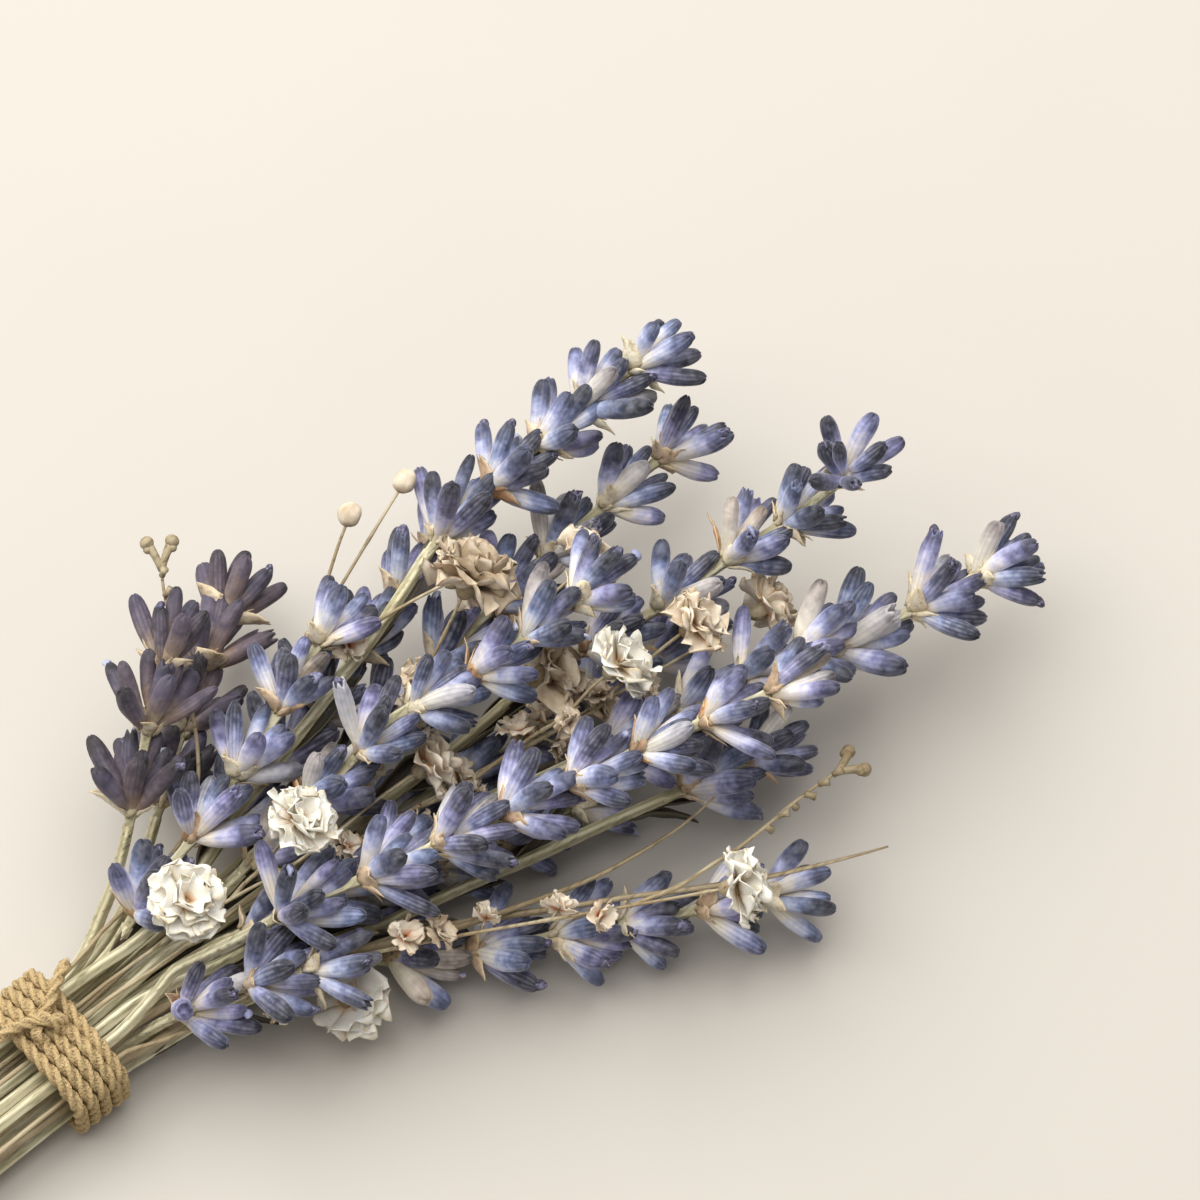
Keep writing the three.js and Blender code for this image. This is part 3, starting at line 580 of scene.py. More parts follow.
def downy_calyx(name, blue, violet, furrow_shade_colour, frost_and_highlight, sheen):
    """Dried lavender calyx: a ribbed, downy cup. It runs from straw at the foot to slate at the tip. The
    down gives its edges a pale sheen and its ribs a pale colour that is partly painted highlight, and
    the furrows between the ribs are darkened with painted shade."""
    made, tree, (run, tone, crest, age) = finish_of(name)
    uneven = node(tree, "MapRange", (grain(tree, 1.3, 3), 0.3, 0.7, -0.13, 0.13))
    late = node(tree, "MapRange", (age, 0, 1, -0.26, 0.22))
    reach = node(tree, "Math", (node(tree, "Math", (run, uneven)), late))
    first = node(tree, "ValToRGB", (reach,), stops=blue)
    second = node(tree, "ValToRGB", (reach,), stops=violet)
    colour = node(tree, "Mix", {0: tone, 6: first, 7: second}, **MIX)
    # Painted shade: the furrows between the ribs are darkened towards a deep slate.
    furrow_shade = node(tree, "MapRange", (crest, 0, 0.5, 0.32, 0))
    colour = node(tree, "Mix", {0: furrow_shade, 6: colour, 7: linear(furrow_shade_colour)}, **MIX)
    # The down lies in patches of about this size: a single hair is finer than a pixel.
    down = node(tree, "MapRange", (grain(tree, 0.9, 2), 0.34, 0.66, 0.12, 1))
    thick = node(tree, "MapRange", (run, 0.45, 1, 0.5, 0.14))
    # The pale colour on the ribs is partly the down and partly a painted highlight.
    ribs = node(tree, "Math", (crest, down), operation="MULTIPLY")
    ribs = node(tree, "Math", (ribs, thick), operation="MULTIPLY")
    colour = node(tree, "Mix", {0: ribs, 6: colour, 7: linear(frost_and_highlight)}, **MIX)
    down_sheen = {"Sheen_Weight": sheen, "Sheen_Roughness": 0.4, "Sheen_Tint": linear(frost_and_highlight)}
    coat(tree, colour, down, 0.05, 0.7, **down_sheen)
    return made


# How a calyx changes colour from its foot to its tip.
BLUE_CALYX = (
    (0, "#efe4c2"), (0.18, "#e4dfd2"), (0.32, "#cbceda"), (0.44, "#a4afcb"),
    (0.57, "#6d7b9f"), (0.72, "#36425d"), (1, "#0a0e18"),
)
VIOLET_CALYX = (
    (0, "#efe1c3"), (0.18, "#e6dcd2"), (0.32, "#d3cddc"), (0.44, "#adaad0"),
    (0.57, "#7a76a2"), (0.72, "#413d5d"), (1, "#0f0b18"),
)
FADED_CALYX = ((0, "#b7a688"), (0.2, "#8a7a70"), (0.5, "#5f586c"), (0.85, "#3d3b52"), (1, "#22212b"))
BROWN_CALYX = ((0, "#b09674"), (0.2, "#856c5f"), (0.5, "#5c4c54"), (0.85, "#3e343c"), (1, "#241e22"))
STRAW_CALYX = ((0, "#efe4c4"), (0.3, "#ddd2bd"), (0.6, "#b9aa9a"), (0.85, "#82705f"), (1, "#4b3d36"))
ASHEN_CALYX = ((0, "#efe7d2"), (0.3, "#e2ded8"), (0.6, "#c3c3cd"), (0.85, "#8d8f9f"), (1, "#4d4f5c"))
# The same for straw and brown bracts, and for green and brown leaves.
STRAW_BRACT = ((0, "#d6c9a4"), (0.5, "#ece4cd"), (1, "#cfbf9b"))
BROWN_BRACT = ((0, "#9a7040"), (0.4, "#b0703f"), (0.8, "#b98a5c"), (1, "#6d4a30"))
# The leaves' colours are much darker than a dry leaf's own: painted shade for the inside of the bunch.
GREEN_LEAF_WITH_PAINTED_SHADE = ((0, "#565139"), (0.6, "#3b372a"), (1, "#221e18"))
BROWN_LEAF_WITH_PAINTED_SHADE = ((0, "#4e3e2f"), (0.6, "#30261e"), (1, "#1b1613"))
# What a corolla's colour may be, from shrunken to torn.
COROLLA_TONES = ((0, "#2f2c3e"), (0.5, "#4d4863"), (0.8, "#8f93b4"), (1, "#c3cbdc"))
# How far light spreads inside, in millimetres, for red, green and blue.
BRACT_GLOW = (0.9, 0.6, 0.3)
PETAL_GLOW = (1.6, 1.3, 0.9)


def papery_bract():
    """Dried bract: a thin scale, straw to orange-brown, speckled, paler at its rim."""
    made, tree, (run, tone, edge, _) = finish_of("Papery bract")
    straw = node(tree, "ValToRGB", (run,), stops=STRAW_BRACT)
    brown = node(tree, "ValToRGB", (run,), stops=BROWN_BRACT)
    colour = node(tree, "Mix", {0: tone, 6: straw, 7: brown}, **MIX)
    specks = node(tree, "MapRange", (grain(tree, 0.5, 3), 0.5, 0.7, 0, 0.5))
    colour = node(tree, "Mix", {0: specks, 6: colour, 7: linear("#6b4a30")}, **MIX)
    rim = node(tree, "MapRange", (edge, 0.6, 1, 0, 0.55))
    colour = node(tree, "Mix", {0: rim, 6: colour, 7: linear("#dccba6")}, **MIX)
    coat(tree, colour, grain(tree, 0.35, 3), 0.08, 0.6, Subsurface_Weight=0.2, glow=BRACT_GLOW)
    return made


def dry_leaf():
    """Narrow lavender leaf, dried olive-brown and darkened further with painted shade, with a paler felt
    along its rolled edges.
    """
    made, tree, (run, tone, edge, _) = finish_of("Dry lavender leaf with painted shade")
    green = node(tree, "ValToRGB", (run,), stops=GREEN_LEAF_WITH_PAINTED_SHADE)
    brown = node(tree, "ValToRGB", (run,), stops=BROWN_LEAF_WITH_PAINTED_SHADE)
    colour = node(tree, "Mix", {0: tone, 6: green, 7: brown}, **MIX)
    felt = node(tree, "MapRange", (edge, 0.55, 1, 0, 0.35))
    colour = node(tree, "Mix", {0: felt, 6: colour, 7: linear("#857d64")}, **MIX)
    coat(tree, colour, grain(tree, 0.4, 3), 0.08, 0.75)
    return made


def withered_corolla():
    """What is left of the flower: a shrunken tuft, slate to pale lilac, glossier than the calyx."""
    made, tree, (_, tone, *_) = finish_of("Withered corolla")
    colour = node(tree, "ValToRGB", (tone,), stops=COROLLA_TONES)
    specks = node(tree, "MapRange", (grain(tree, 0.3, 2), 0.45, 0.7, 0, 0.6))
    colour = node(tree, "Mix", {0: specks, 6: colour, 7: linear("#a7a5bd")}, **MIX)
    coat(tree, colour, grain(tree, 0.25, 2), 0.06, 0.5)
    return made


def dry_stalk(name, pale, deep, streak_and_groove_shade, pith):
    """Dried stem: satin straw with fine darker lengthwise streaks, painted shade in its grooves, and pale
    pith where it is cut.
    """
    made, tree, (*_, ridge, cut) = finish_of(name)
    patches = node(tree, "MapRange", (grain(tree, 9, 2), 0.35, 0.65))
    colour = node(tree, "Mix", {0: patches, 6: linear(pale), 7: linear(deep)}, **MIX)
    # Painted shade: the grooves of the section are darkened.
    groove = node(tree, "MapRange", (ridge, 0, 1, 0.55, 0))
    colour = node(tree, "Mix", {0: groove, 6: colour, 7: linear(streak_and_groove_shade)}, **MIX)
    streaks = node(tree, "MapRange", (grain(tree, 0.35, 3, (0.12, 1, 1)), 0.5, 0.75))
    colour = node(tree, "Mix", {0: streaks, 6: colour, 7: linear(streak_and_groove_shade)}, **MIX)
    colour = node(tree, "Mix", {0: cut, 6: colour, 7: linear(pith)}, **MIX)
    coat(tree, colour, streaks, 0.05, 0.55)
    return made


def papery_petal(name, pale, shade, foot, rim):
    """Dried petal: thin as tissue, creased, softly lit from within, browner at its foot and at its rim."""
    made, tree, (run, _, edge, age) = finish_of(name)
    clouds = node(tree, "MapRange", (grain(tree, 1.6, 3), 0.38, 0.68))
    colour = node(tree, "Mix", {0: clouds, 6: linear(pale), 7: linear(shade)}, **MIX)
    low = node(tree, "MapRange", (run, 0.06, 0.42, 0.95, 0))
    colour = node(tree, "Mix", {0: low, 6: colour, 7: linear(foot)}, **MIX)
    rims = node(tree, "Math", (node(tree, "MapRange", (edge, 0.78, 1)), age), operation="MULTIPLY")
    colour = node(tree, "Mix", {0: rims, 6: colour, 7: linear(rim)}, **MIX)
    coat(tree, colour, grain(tree, 0.5, 4), 0.06, 0.65, Subsurface_Weight=0.45, glow=PETAL_GLOW)
    return made


def jute_twine():
    """Jute twine: three twisted plies of coarse matt fibre, with painted shade in the grooves, flecked
    paler.
    """
    made, tree, (_, _, ridge, _) = finish_of("Jute twine")
    # Painted shade: the grooves between the plies are darker than the crests.
    colour = node(tree, "Mix", {0: ridge, 6: linear("#7b5f38"), 7: linear("#c4a673")}, **MIX)
    fibres = node(tree, "MapRange", (grain(tree, 0.22, 4), 0.35, 0.7))
    colour = node(tree, "Mix", {0: fibres, 6: colour, 7: linear("#d6bd8d")}, **MIX)
    coat(tree, colour, fibres, 0.12, 0.85)
    return made


def pale_table():
    """Painted board: matt warm white with the faintest unevenness."""
    made, tree, _ = finish_of("Matt painted board")
    colour = node(tree, "Mix", {0: grain(tree, 60, 2), 6: linear("#c3beb5"), 7: linear("#bfb9b0")}, **MIX)
    coat(tree, colour, None, 0, 0.9, Specular_IOR_Level=0.2)
    return made


CALYX = downy_calyx("Downy lavender calyx", BLUE_CALYX, VIOLET_CALYX, "#262244", "#e2e2f6", 0.5)
BLEACHED = downy_calyx("Bleached lavender calyx", STRAW_CALYX, ASHEN_CALYX, "#4b4038", "#f0ece2", 0.5)
FADED = downy_calyx("Faded lavender calyx", FADED_CALYX, BROWN_CALYX, "#33292c", "#a39a9e", 0.3)
BRACT = papery_bract()
LEAF = dry_leaf()
COROLLA = withered_corolla()
LAVENDER_STALK = dry_stalk("Dried lavender stem", "#e4debf", "#c8bf98", "#857b58", "#ece5cd")
SPRAY_STALK = dry_stalk("Dried gypsophila stem", "#c9bc9b", "#9c8763", "#6f5a3c", "#e6dfc2")
GRASS_STALK = dry_stalk("Dry grass stalk", "#b3a283", "#93805e", "#6e5d43", "#ddd2b4")
WHITE_PETAL = papery_petal("White papery petal", "#f2efe6", "#e3ded2", "#c79c66", "#d3c4a2")
CREAM_PETAL = papery_petal("Cream papery petal", "#ece2d0", "#d8c7ae", "#b8703c", "#c2a47a")
AGED_PETAL = papery_petal("Aged papery petal", "#ddd0ba", "#bda88b", "#65452c", "#85694c")
PETALS_OF = {"white": WHITE_PETAL, "cream": CREAM_PETAL, "aged": AGED_PETAL}
TWINE = jute_twine()


# ---- Lavender ----
BUD_PITCH_ANGLE = 360 / len(WHORL_LEANS)
STEM_LEAVES = 7
LEAF_LENGTHS = (8, 14)
LEAF_THICKNESS = 0.12
# A bud's outline: place along it and share of its girth.
BUD_OUTLINE = np.array((
    (0, 0.36), (0.06, 0.45), (0.14, 0.58), (0.24, 0.73), (0.36, 0.86), (0.48, 0.94), (0.6, 0.99),
    (0.71, 1), (0.81, 0.96), (0.885, 0.87), (0.94, 0.73), (0.975, 0.55), (0.994, 0.33), (1, 0.12),
))
# Where the mouth is open, these rows end the outline instead of its last four, and turn in.
OPEN_MOUTH = np.array(((0.94, 0.78), (0.98, 0.68), (0.985, 0.5), (0.93, 0.3)))
BUD_RIBS = 12
RIB_HEIGHT = 0.045
OPEN_SHARE = 0.13  # of the buds are open at the mouth
BLEACHED_SHARE = 0.09  # of the buds have lost their blue
MATCH = 0.15  # how near a bud's tip is to the solid bud's where they are the same bud
BRACT_THICKNESS = 0.09
BROAD_BRACTS, NARROW_BRACTS = 3, 6
LEAFY_WHORL = (2, 3)  # the one head, and whorl of it, with a long pointed leaf
ON_CALYX, ON_BRACT, ON_RACHIS, ON_COROLLA, ON_BLEACHED = range(5)  # the order of a head's finishes


def head_start(line):
    return line.total - line.spike[3] - 3.6


def seat(base, along):
    """A place on a stem, with the directions there."""
    side = unit(np.cross(UP, along))
    return {"base": base, "along": along, "side": side, "up": np.cross(along, side)}


def around(place, degrees):
    return place["side"] * math.cos(math.radians(degrees)) + place["up"] * math.sin(math.radians(degrees))


def square_section(columns):
    """Four rounded corners with a shallow groove down each flat side."""
    turns = (np.arange(columns) + 0.5) / columns * 2 * math.pi
    return 0.86 - 0.14 * np.cos(4 * turns)


def lavender_stem(line):
    """A square grooved stem with its pale pith at the cut end, and a few dry leaves under it."""
    surface = Surface()
    stop = head_start(line) + 0.3
    runs = np.append(np.arange(0, stop - 0.5, 1.1), stop)
    points = wrinkled(line.smooth(runs), 14, 0.12, line.plant)
    taper = runs / stop
    swell = 1 + 0.05 * np.sin(runs / 3.1 + line.plant)
    radii = mix(STEM_RADIUS, RACHIS_RADIUS + 0.1, taper) * swell * 0.97
    columns = 16
    section = square_section(columns)
    surface.twig(points, radii, columns, run=taper, section=section, twist=taper * 60)
    pith = sweep(points[:2] - (points[1] - points[0]) * 0.06, radii[:2] * 0.72, columns, section)
    surface.tube(pith, marked(2, columns, 0, 0, 1, 1))
    first = TAIL_LENGTH + 14
    for j in range(STEM_LEAVES if stop > first + 8 else 0):
        run = mix(first, stop - 1, (j + draw(line.plant, j, 91)) / STEM_LEAVES)
        length = mix(*LEAF_LENGTHS, draw(line.plant, j, 92))
        roll = mix(195, 345, draw(line.plant, j, 93))
        add_leaf(surface, line, run, roll, length, (line.plant, j))
    name = f"lavender_stem_{line.plant + 1:02d}"
    surface.piece("fine_" + name, [LAVENDER_STALK, LEAF], "lavender_stem", name)


def add_leaf(surface, line, run, roll, length, keys):
    """A narrow dry leaf, its edges rolled under, lying below the stem that it grew on."""
    rows, columns = 12, 5
    along = line.along(run)
    out = around(seat(line.spot(run), along), roll)
    u, v = np.linspace(0, 1, rows), np.linspace(-1, 1, columns)
    leans = mix(8, 18, draw(*keys, 1)) + spread(26, *keys, 2) * u
    width = np.interp(u, (0, 0.2, 0.6, 0.9, 1), (0.3, 0.75, 0.9, 0.5, 0.05))
    start = line.spot(run) + out * STEM_RADIUS * 0.5
    grid, _, _ = strip(start, along, out, leans, length, width, 0.9, v)
    bow = np.sin(u * 2.4) * spread(1.6, *keys, 3)
    grid = grid + np.cross(along, out) * bow[:, None, None]
    grid = wrinkled(grid, 2.2, 0.3, keys[0] * 17 + keys[1])
    edge = np.broadcast_to(np.abs(v), (rows, columns))
    surface.blade(grid, marked(rows, columns, u, draw(*keys, 4), edge, 0), LEAF_THICKNESS, finish=1)


def whorl_place(line, number):
    """Where a whorl sits on the head, and the directions there."""
    head, whorls, lift = line.spike[3:6]
    t = number / (whorls - 1)
    shift = spread(0.7, line.plant, number, 9) if 0 < t < 1 else 0
    run = line.total - head * (1 - t**0.92) - 1.6 + shift
    along = line.along(run)
    if t == 1 and lift:
        along = turned(along, unit(np.cross(UP, along)), -lift)
    return {"t": t, "run": run, **seat(line.at(run), along)}


def bud_pose(place, roll, tilt, length, bend, least=LEAST_LEAN):
    """How a bud lies for one of the ways that it may be bent."""
    more_roll, more_tilt, share = bend
    out = around(place, roll + more_roll)
    lean = math.radians(max(tilt + more_tilt, least))
    return {
        "start": place["base"] + out * 0.35,
        "way": place["along"] * math.cos(lean) + out * math.sin(lean),
        "inward": place["along"] * math.sin(lean) - out * math.cos(lean),
        "across": np.cross(place["along"], out),
        "reach": length * share,
        "girth": BUD_RADIUS * mix(1, 0.88, place["t"]),
    }


def along_bud(pose, f):
    f = np.atleast_1d(f)[:, None]
    return pose["start"] + pose["way"] * pose["reach"] * f + pose["inward"] * pose["reach"] * 0.05 * f * f


def matching_pose(poses, corners):
    """The pose whose tip has the corners of a bud's tip of the solid head, or None if no bud is there."""
    best, least = None, MATCH
    signs = ((-1, -1), (-1, 1), (1, -1), (1, 1))
    for pose in poses:
        tip, half = along_bud(pose, 1)[0], pose["girth"] * 0.4
        ends = [tip + (pose["across"] * w + pose["inward"] * t) * half for w, t in signs]
        misses = sorted(np.linalg.norm(corners - end, axis=1).min() for end in ends)
        if misses[2] < least:
            best, least = pose, misses[2]
    return best


def add_bud(surface, pose, keys):
    """A ribbed calyx, a little bent and uneven. Some are open, and some hold what is left of the flower."""
    columns = BUD_RIBS * 2
    is_open = draw(*keys, 10) < OPEN_SHARE
    f, profile = (np.concatenate((BUD_OUTLINE[:-4], OPEN_MOUTH)) if is_open else BUD_OUTLINE).T
    profile = profile ** mix(0.8, 1.25, draw(*keys, 11))
    turns = np.arange(columns) / columns * 2 * math.pi
    rib = np.cos(turns * BUD_RIBS)
    ribbed = draw(*keys, 12)
    height = RIB_HEIGHT * ribbed**2 * np.sin(np.clip(f, 0.05, 0.97) * math.pi) ** 0.5
    radius = pose["girth"] * mix(0.82, 1.0, draw(*keys, 13))
    f_rows = f[:, None]
    dents = np.sin(2 * turns + 5 * f_rows + keys[2]) + np.sin(3 * turns - 8 * f_rows + keys[1])
    lumps = 1 + 0.045 * dents * np.sin(f_rows * math.pi)
    reach = radius * profile[:, None] * lumps + height[:, None] * rib
    flat = mix(0.78, 1, draw(*keys, 14))
    axis = along_bud(pose, f)
    axis = axis + pose["across"] * (np.sin(f * math.pi) * spread(0.3, *keys, 15))[:, None]
    teeth = (0.05 if is_open else 0.02) * np.cos(5 * turns + keys[2])
    forward = np.clip((f_rows - 0.8) * 5, 0, 1) * teeth * pose["reach"]
    rings = loops(axis[:, None], pose["across"], pose["inward"] * flat, turns, reach)
    rings = rings + pose["way"] * forward[..., None]
    crest = np.broadcast_to(0.5 + rib / 2 * mix(0.1, 0.85, ribbed), reach.shape)
    run = np.where(np.arange(len(f)) == len(f) - 3, 0.8, f) if is_open else f
    marks = marked(len(f), columns, run, draw(*keys, 17), crest[:, ::-1], draw(*keys, 18))
    finish = ON_BLEACHED if draw(*keys, 24) < BLEACHED_SHARE else ON_CALYX
    surface.tube(rings[:, ::-1], marks, finish)
    if draw(*keys, 19) < (0.6 if is_open else 0.1):
        add_corolla(surface, pose, radius, keys)


def add_corolla(surface, pose, radius, keys):
    """A shrunken tuft in the mouth of the calyx, now and then a paler torn lip of the flower."""
    columns = 9
    torn = draw(*keys, 20) > 0.8
    f = np.array((0.93, 0.98, 1.02, 1.06, 1.085))
    shares = np.array((0.42, 0.56, 0.7, 0.62, 0.3)) if torn else np.array((0.42, 0.5, 0.44, 0.3, 0.08))
    turns = np.arange(columns) / columns * 2 * math.pi
    reach = radius * shares[:, None] * (1 + 0.3 * np.sin(3 * turns + 9 * f[:, None] + keys[2]))
    lean = pose["across"] * spread(0.5, *keys, 21) + pose["inward"] * spread(0.5, *keys, 22)
    axis = along_bud(pose, f) + lean * ((f - 0.93) * 6)[:, None]
    rings = loops(axis[:, None], pose["across"], pose["inward"] * (0.45 if torn else 1), turns, reach)
    tone = mix(0.75, 1, draw(*keys, 23)) if torn else 0.6 * draw(*keys, 23)
    surface.tube(rings[:, ::-1], marked(len(f), columns, f - 0.93, tone, 0, 0), ON_COROLLA)


def add_bract(surface, place, roll, lean, length, half_width, brown, keys):
    """A pointed papery scale that cups the foot of the buds."""
    rows, columns = 9, 7
    out = around(place, roll)
    u, v = np.linspace(0, 1, rows), np.linspace(-1, 1, columns)
    leans = lean + spread(8, *keys, 1) + 16 * u
    width = half_width * np.interp(u, (0, 0.2, 0.45, 0.75, 1), (0.45, 0.85, 1, 0.55, 0.03))
    start = place["base"] - place["along"] * 0.9 + out * 0.5
    grid, _, _ = strip(start, place["along"], out, leans, length, width, 0.7, v)
    grid = wrinkled(grid, 1.1, 0.22, keys[0] * 31 + keys[1] * 7 + keys[2])
    tone = brown**1.5 * mix(0.6, 1, draw(*keys, 2))
    edge = np.broadcast_to(np.abs(v), (rows, columns))
    surface.blade(grid, marked(rows, columns, u, tone, edge, draw(*keys, 3)), BRACT_THICKNESS, ON_BRACT)


def add_inner_buds(surface, place, turn, keys):
    """Shorter buds close to the stem, some a little above the ring of outer ones; fewer near the tip."""
    count = 4 if place["t"] < 0.8 else 2
    for j in range(count):
        roll = turn + (j + 0.3) * 360 / count + spread(25, *keys, j, 51)
        lean = mix(13, 24, draw(*keys, j, 52))
        length = BUD_LENGTH * mix(0.76, 0.94, draw(*keys, j, 53)) * mix(1, 0.88, place["t"])
        pose = bud_pose(place, roll, lean, length, BENDS[0], lean)
        pose["girth"] *= 0.84
        pose["start"] = pose["start"] + place["along"] * mix(0.5, 2.4, draw(*keys, j, 50))
        add_bud(surface, pose, (*keys, 20 + j))


def add_bracts(surface, place, turn, keys, size):
    """Scales under a whorl: three broad ones, and narrow ones between the buds' feet."""
    brown = draw(*keys, 54)
    for j in range(BROAD_BRACTS):
        roll = turn + 360 / BROAD_BRACTS * j + spread(50, *keys, j, 56)
        length = size * mix(2.6, 4.4, draw(*keys, j, 57))
        half_width = size * mix(0.8, 1.5, draw(*keys, j, 58))
        lean = mix(30, 58, draw(*keys, j, 61))
        add_bract(surface, place, roll, lean, length, half_width, brown, (keys[0] + 40, keys[1], j))
    for j in range(NARROW_BRACTS):
        roll = turn + 360 / NARROW_BRACTS * j + spread(30, *keys, j, 59)
        lean, length = mix(24, 48, draw(*keys, j, 62)), mix(2.0, 3.8, draw(*keys, j, 60))
        add_bract(surface, place, roll, lean, length, 0.34, brown, (keys[0] + 80, keys[1], j))


def add_rachis(surface, line, places):
    """The stem inside the head, swollen where each whorl sits."""
    runs = np.arange(head_start(line) - 0.6, places[-1]["run"] + 0.2, 0.6)
    points = line.smooth(runs)
    swell = sum(np.exp(-(((runs - place["run"] - 0.3) / 0.9) ** 2)) for place in places)
    radii = RACHIS_RADIUS + 0.05 + 0.3 * np.minimum(swell, 1)
    columns = 12
    surface.twig(points, radii, columns, finish=ON_RACHIS, section=square_section(columns))


def lavender_head(line):
    """Whorls of buds, each lying where the solid head has that bud, with bracts under every whorl."""
    name = f"lavender_head_{line.plant + 1:02d}"
    corners = np.array([v.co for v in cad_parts[name].data.vertices]) / MM - MIDDLE
    surface = Surface()
    plant, whorls, faded = line.plant, line.spike[4], line.spike[6]
    places = [whorl_place(line, number) for number in range(whorls)]
    add_rachis(surface, line, places)
    for number, place in enumerate(places):
        turn = plant * 25 + number * BUD_PITCH_ANGLE / 2
        for j, whorl_lean in enumerate(WHORL_LEANS):
            keys = (plant, number, j)
            roll = turn + (j + 0.5) * BUD_PITCH_ANGLE + spread(9, *keys, 1)
            tilt = mix(47, 38, place["t"] ** 2) + whorl_lean + spread(8, *keys, 2)
            length = BUD_LENGTH * mix(1, 0.88, place["t"]) * (1 + spread(0.14, *keys, 3))
            poses = [bud_pose(place, roll, tilt, length, bend) for bend in BENDS]
            pose = matching_pose(poses, corners)
            if pose:
                add_bud(surface, pose, keys)
        add_inner_buds(surface, place, turn, (plant, number))
        add_bracts(surface, place, turn, (plant, number), 1.25 if faded else 1)
        if (plant, number) == LEAFY_WHORL:
            add_bract(surface, place, -12, 66, 5.6, 0.5, 0.95, (plant, number, 90))
    finishes = [FADED if faded else CALYX, BRACT, LAVENDER_STALK, COROLLA, FADED if faded else BLEACHED]
    surface.piece("fine_" + name, finishes, "faded_lavender" if faded else "lavender_bud", name)


# ---- Baby's breath ----
# Rings of petals from the outside in: lean, how many, reach and half width as shares of the radius.
PETAL_RINGS = ((96, 5, 1.08, 0.68), (74, 5, 1.08, 0.68), (50, 4, 1, 0.66), (26, 4, 0.88, 0.54))
# How petals have dried: size of the broad folds, their height, that of the fine creases, and curl.
DRYING = {"white": (4.2, 0.7, 0.04, 18), "cream": (2.4, 0.9, 0.1, 34), "aged": (2.2, 1.1, 0.16, 46)}
PETAL_THICKNESS = 0.07
FLORET_PITCH = 5.5  # small withered flowers come this often along a stem
FLORET_PETALS = 8
KNUCKLE_PITCH = (13, 17)
LOST_FLOWERS = 6  # stubs below a fork


def add_wire(surface, line, stop, start_radius, end_radius):
    """A wiry stem with a small knuckle every so often."""
    runs = np.append(np.arange(0, stop, 1.0), stop)
    points = line.smooth(runs)
    pitch = mix(*KNUCKLE_PITCH, draw(line.plant, 61))
    knuckles = np.exp(-((((runs + 3) % pitch - pitch / 2) / 0.7) ** 2))
    radii = mix(start_radius, end_radius, runs / stop) * (1 + 0.35 * knuckles)
    surface.twig(points, radii, 8, ridge=0.7, run=runs / stop)


def add_closed_bud(surface, centre, along, radius, seed):
    """A closed round bud: five folded lobes on a small cup."""
    rows, columns = 13, 20
    place = seat(centre, along)
    polar = np.linspace(0.02, 0.985, rows) * math.pi
    turns = np.arange(columns) / columns * 2 * math.pi
    lobes = 1 - 0.1 * np.abs(np.sin(2.5 * turns))[None] * np.sin(polar)[:, None]
    reach = radius * np.sin(polar)[:, None] * lobes
    forward = -radius * 1.05 * np.cos(polar)
    middles = centre + along * forward[:, None, None]
    rings = wrinkled(loops(middles, place["side"], place["up"], turns, reach), 0.9, 0.12, seed)
    run = np.linspace(0.2, 1, rows)
    surface.tube(rings[:, ::-1], marked(rows, columns, run, 0.5, 0.5, 0.5), finish=1)


def add_fork(surface, line):
    """A bare forked end with the knobs of lost flowers."""
    place = seat(line.at(line.total), line.along(line.total))
    end, along, across = place["base"], place["along"], place["side"]
    for side in (-1, 1):
        tip = end + along * 1.9 + across * 1.3 * side
        middle = end + along * 0.6 + across * 0.45 * side + place["up"] * 0.25
        points = bezier(end - along * 1.0, middle, tip)
        girths = np.interp(np.linspace(0, 1, len(points)), (0, 0.5, 1), (0.36, 0.42, 0.55))
        surface.twig(points, girths, 8)
        add_knob(surface, tip, unit(tip - middle), 0.72)
        beside = mix(middle, tip, 0.5) + across * 0.4 * side
        add_knob(surface, beside, unit(across * side + along * 0.6), 0.5)
    for i in range(LOST_FLOWERS):
        run = line.total - 1.5 - 2.1 * i
        base, along = line.spot(run), line.along(run)
        way = unit(turned(across, along, 360 * draw(line.plant, i, 71)) + along * 0.7)
        points = np.array([base, base + way * 0.55, base + way * 1.1])
        surface.twig(points, (0.34, 0.32, 0.46), 8)


def add_knob(surface, centre, along, radius):
    """A blunt knob at the end of a twig."""
    points = np.array([centre + along * radius * k for k in (-0.9, -0.45, 0, 0.5, 0.8)])
    surface.twig(points, radius * np.array((0.6, 0.95, 1.05, 0.85, 0.4)), 10, ridge=0.2)


def add_floret(surface, line, run, keys):
    """A small withered flower on a short stalk of its own."""
    base, along = line.spot(run), line.along(run)
    out = around(seat(base, along), mix(-20, 200, draw(*keys, 1)))
    way = unit(out + along * mix(0.4, 1.6, draw(*keys, 2)))
    tip = base + way * mix(1, 2.6, draw(*keys, 3))
    points = np.array([base, mix(base, tip, 0.5) + UP * 0.1, tip])
    surface.twig(points, (0.16, 0.14, 0.2), 6)
    size = mix(1.5, 2.3, draw(*keys, 4))
    finish = 2 if draw(*keys, 5) < 0.6 else 1  # cream or aged
    for j in range(FLORET_PETALS):
        lean = 86 if j % 2 else 42
        roll = j * 360 / FLORET_PETALS + spread(18, *keys, j, 6)
        add_petal(surface, seat(tip, way), roll, lean, size, size * 0.6, DRYING["aged"], (*keys, j), finish)


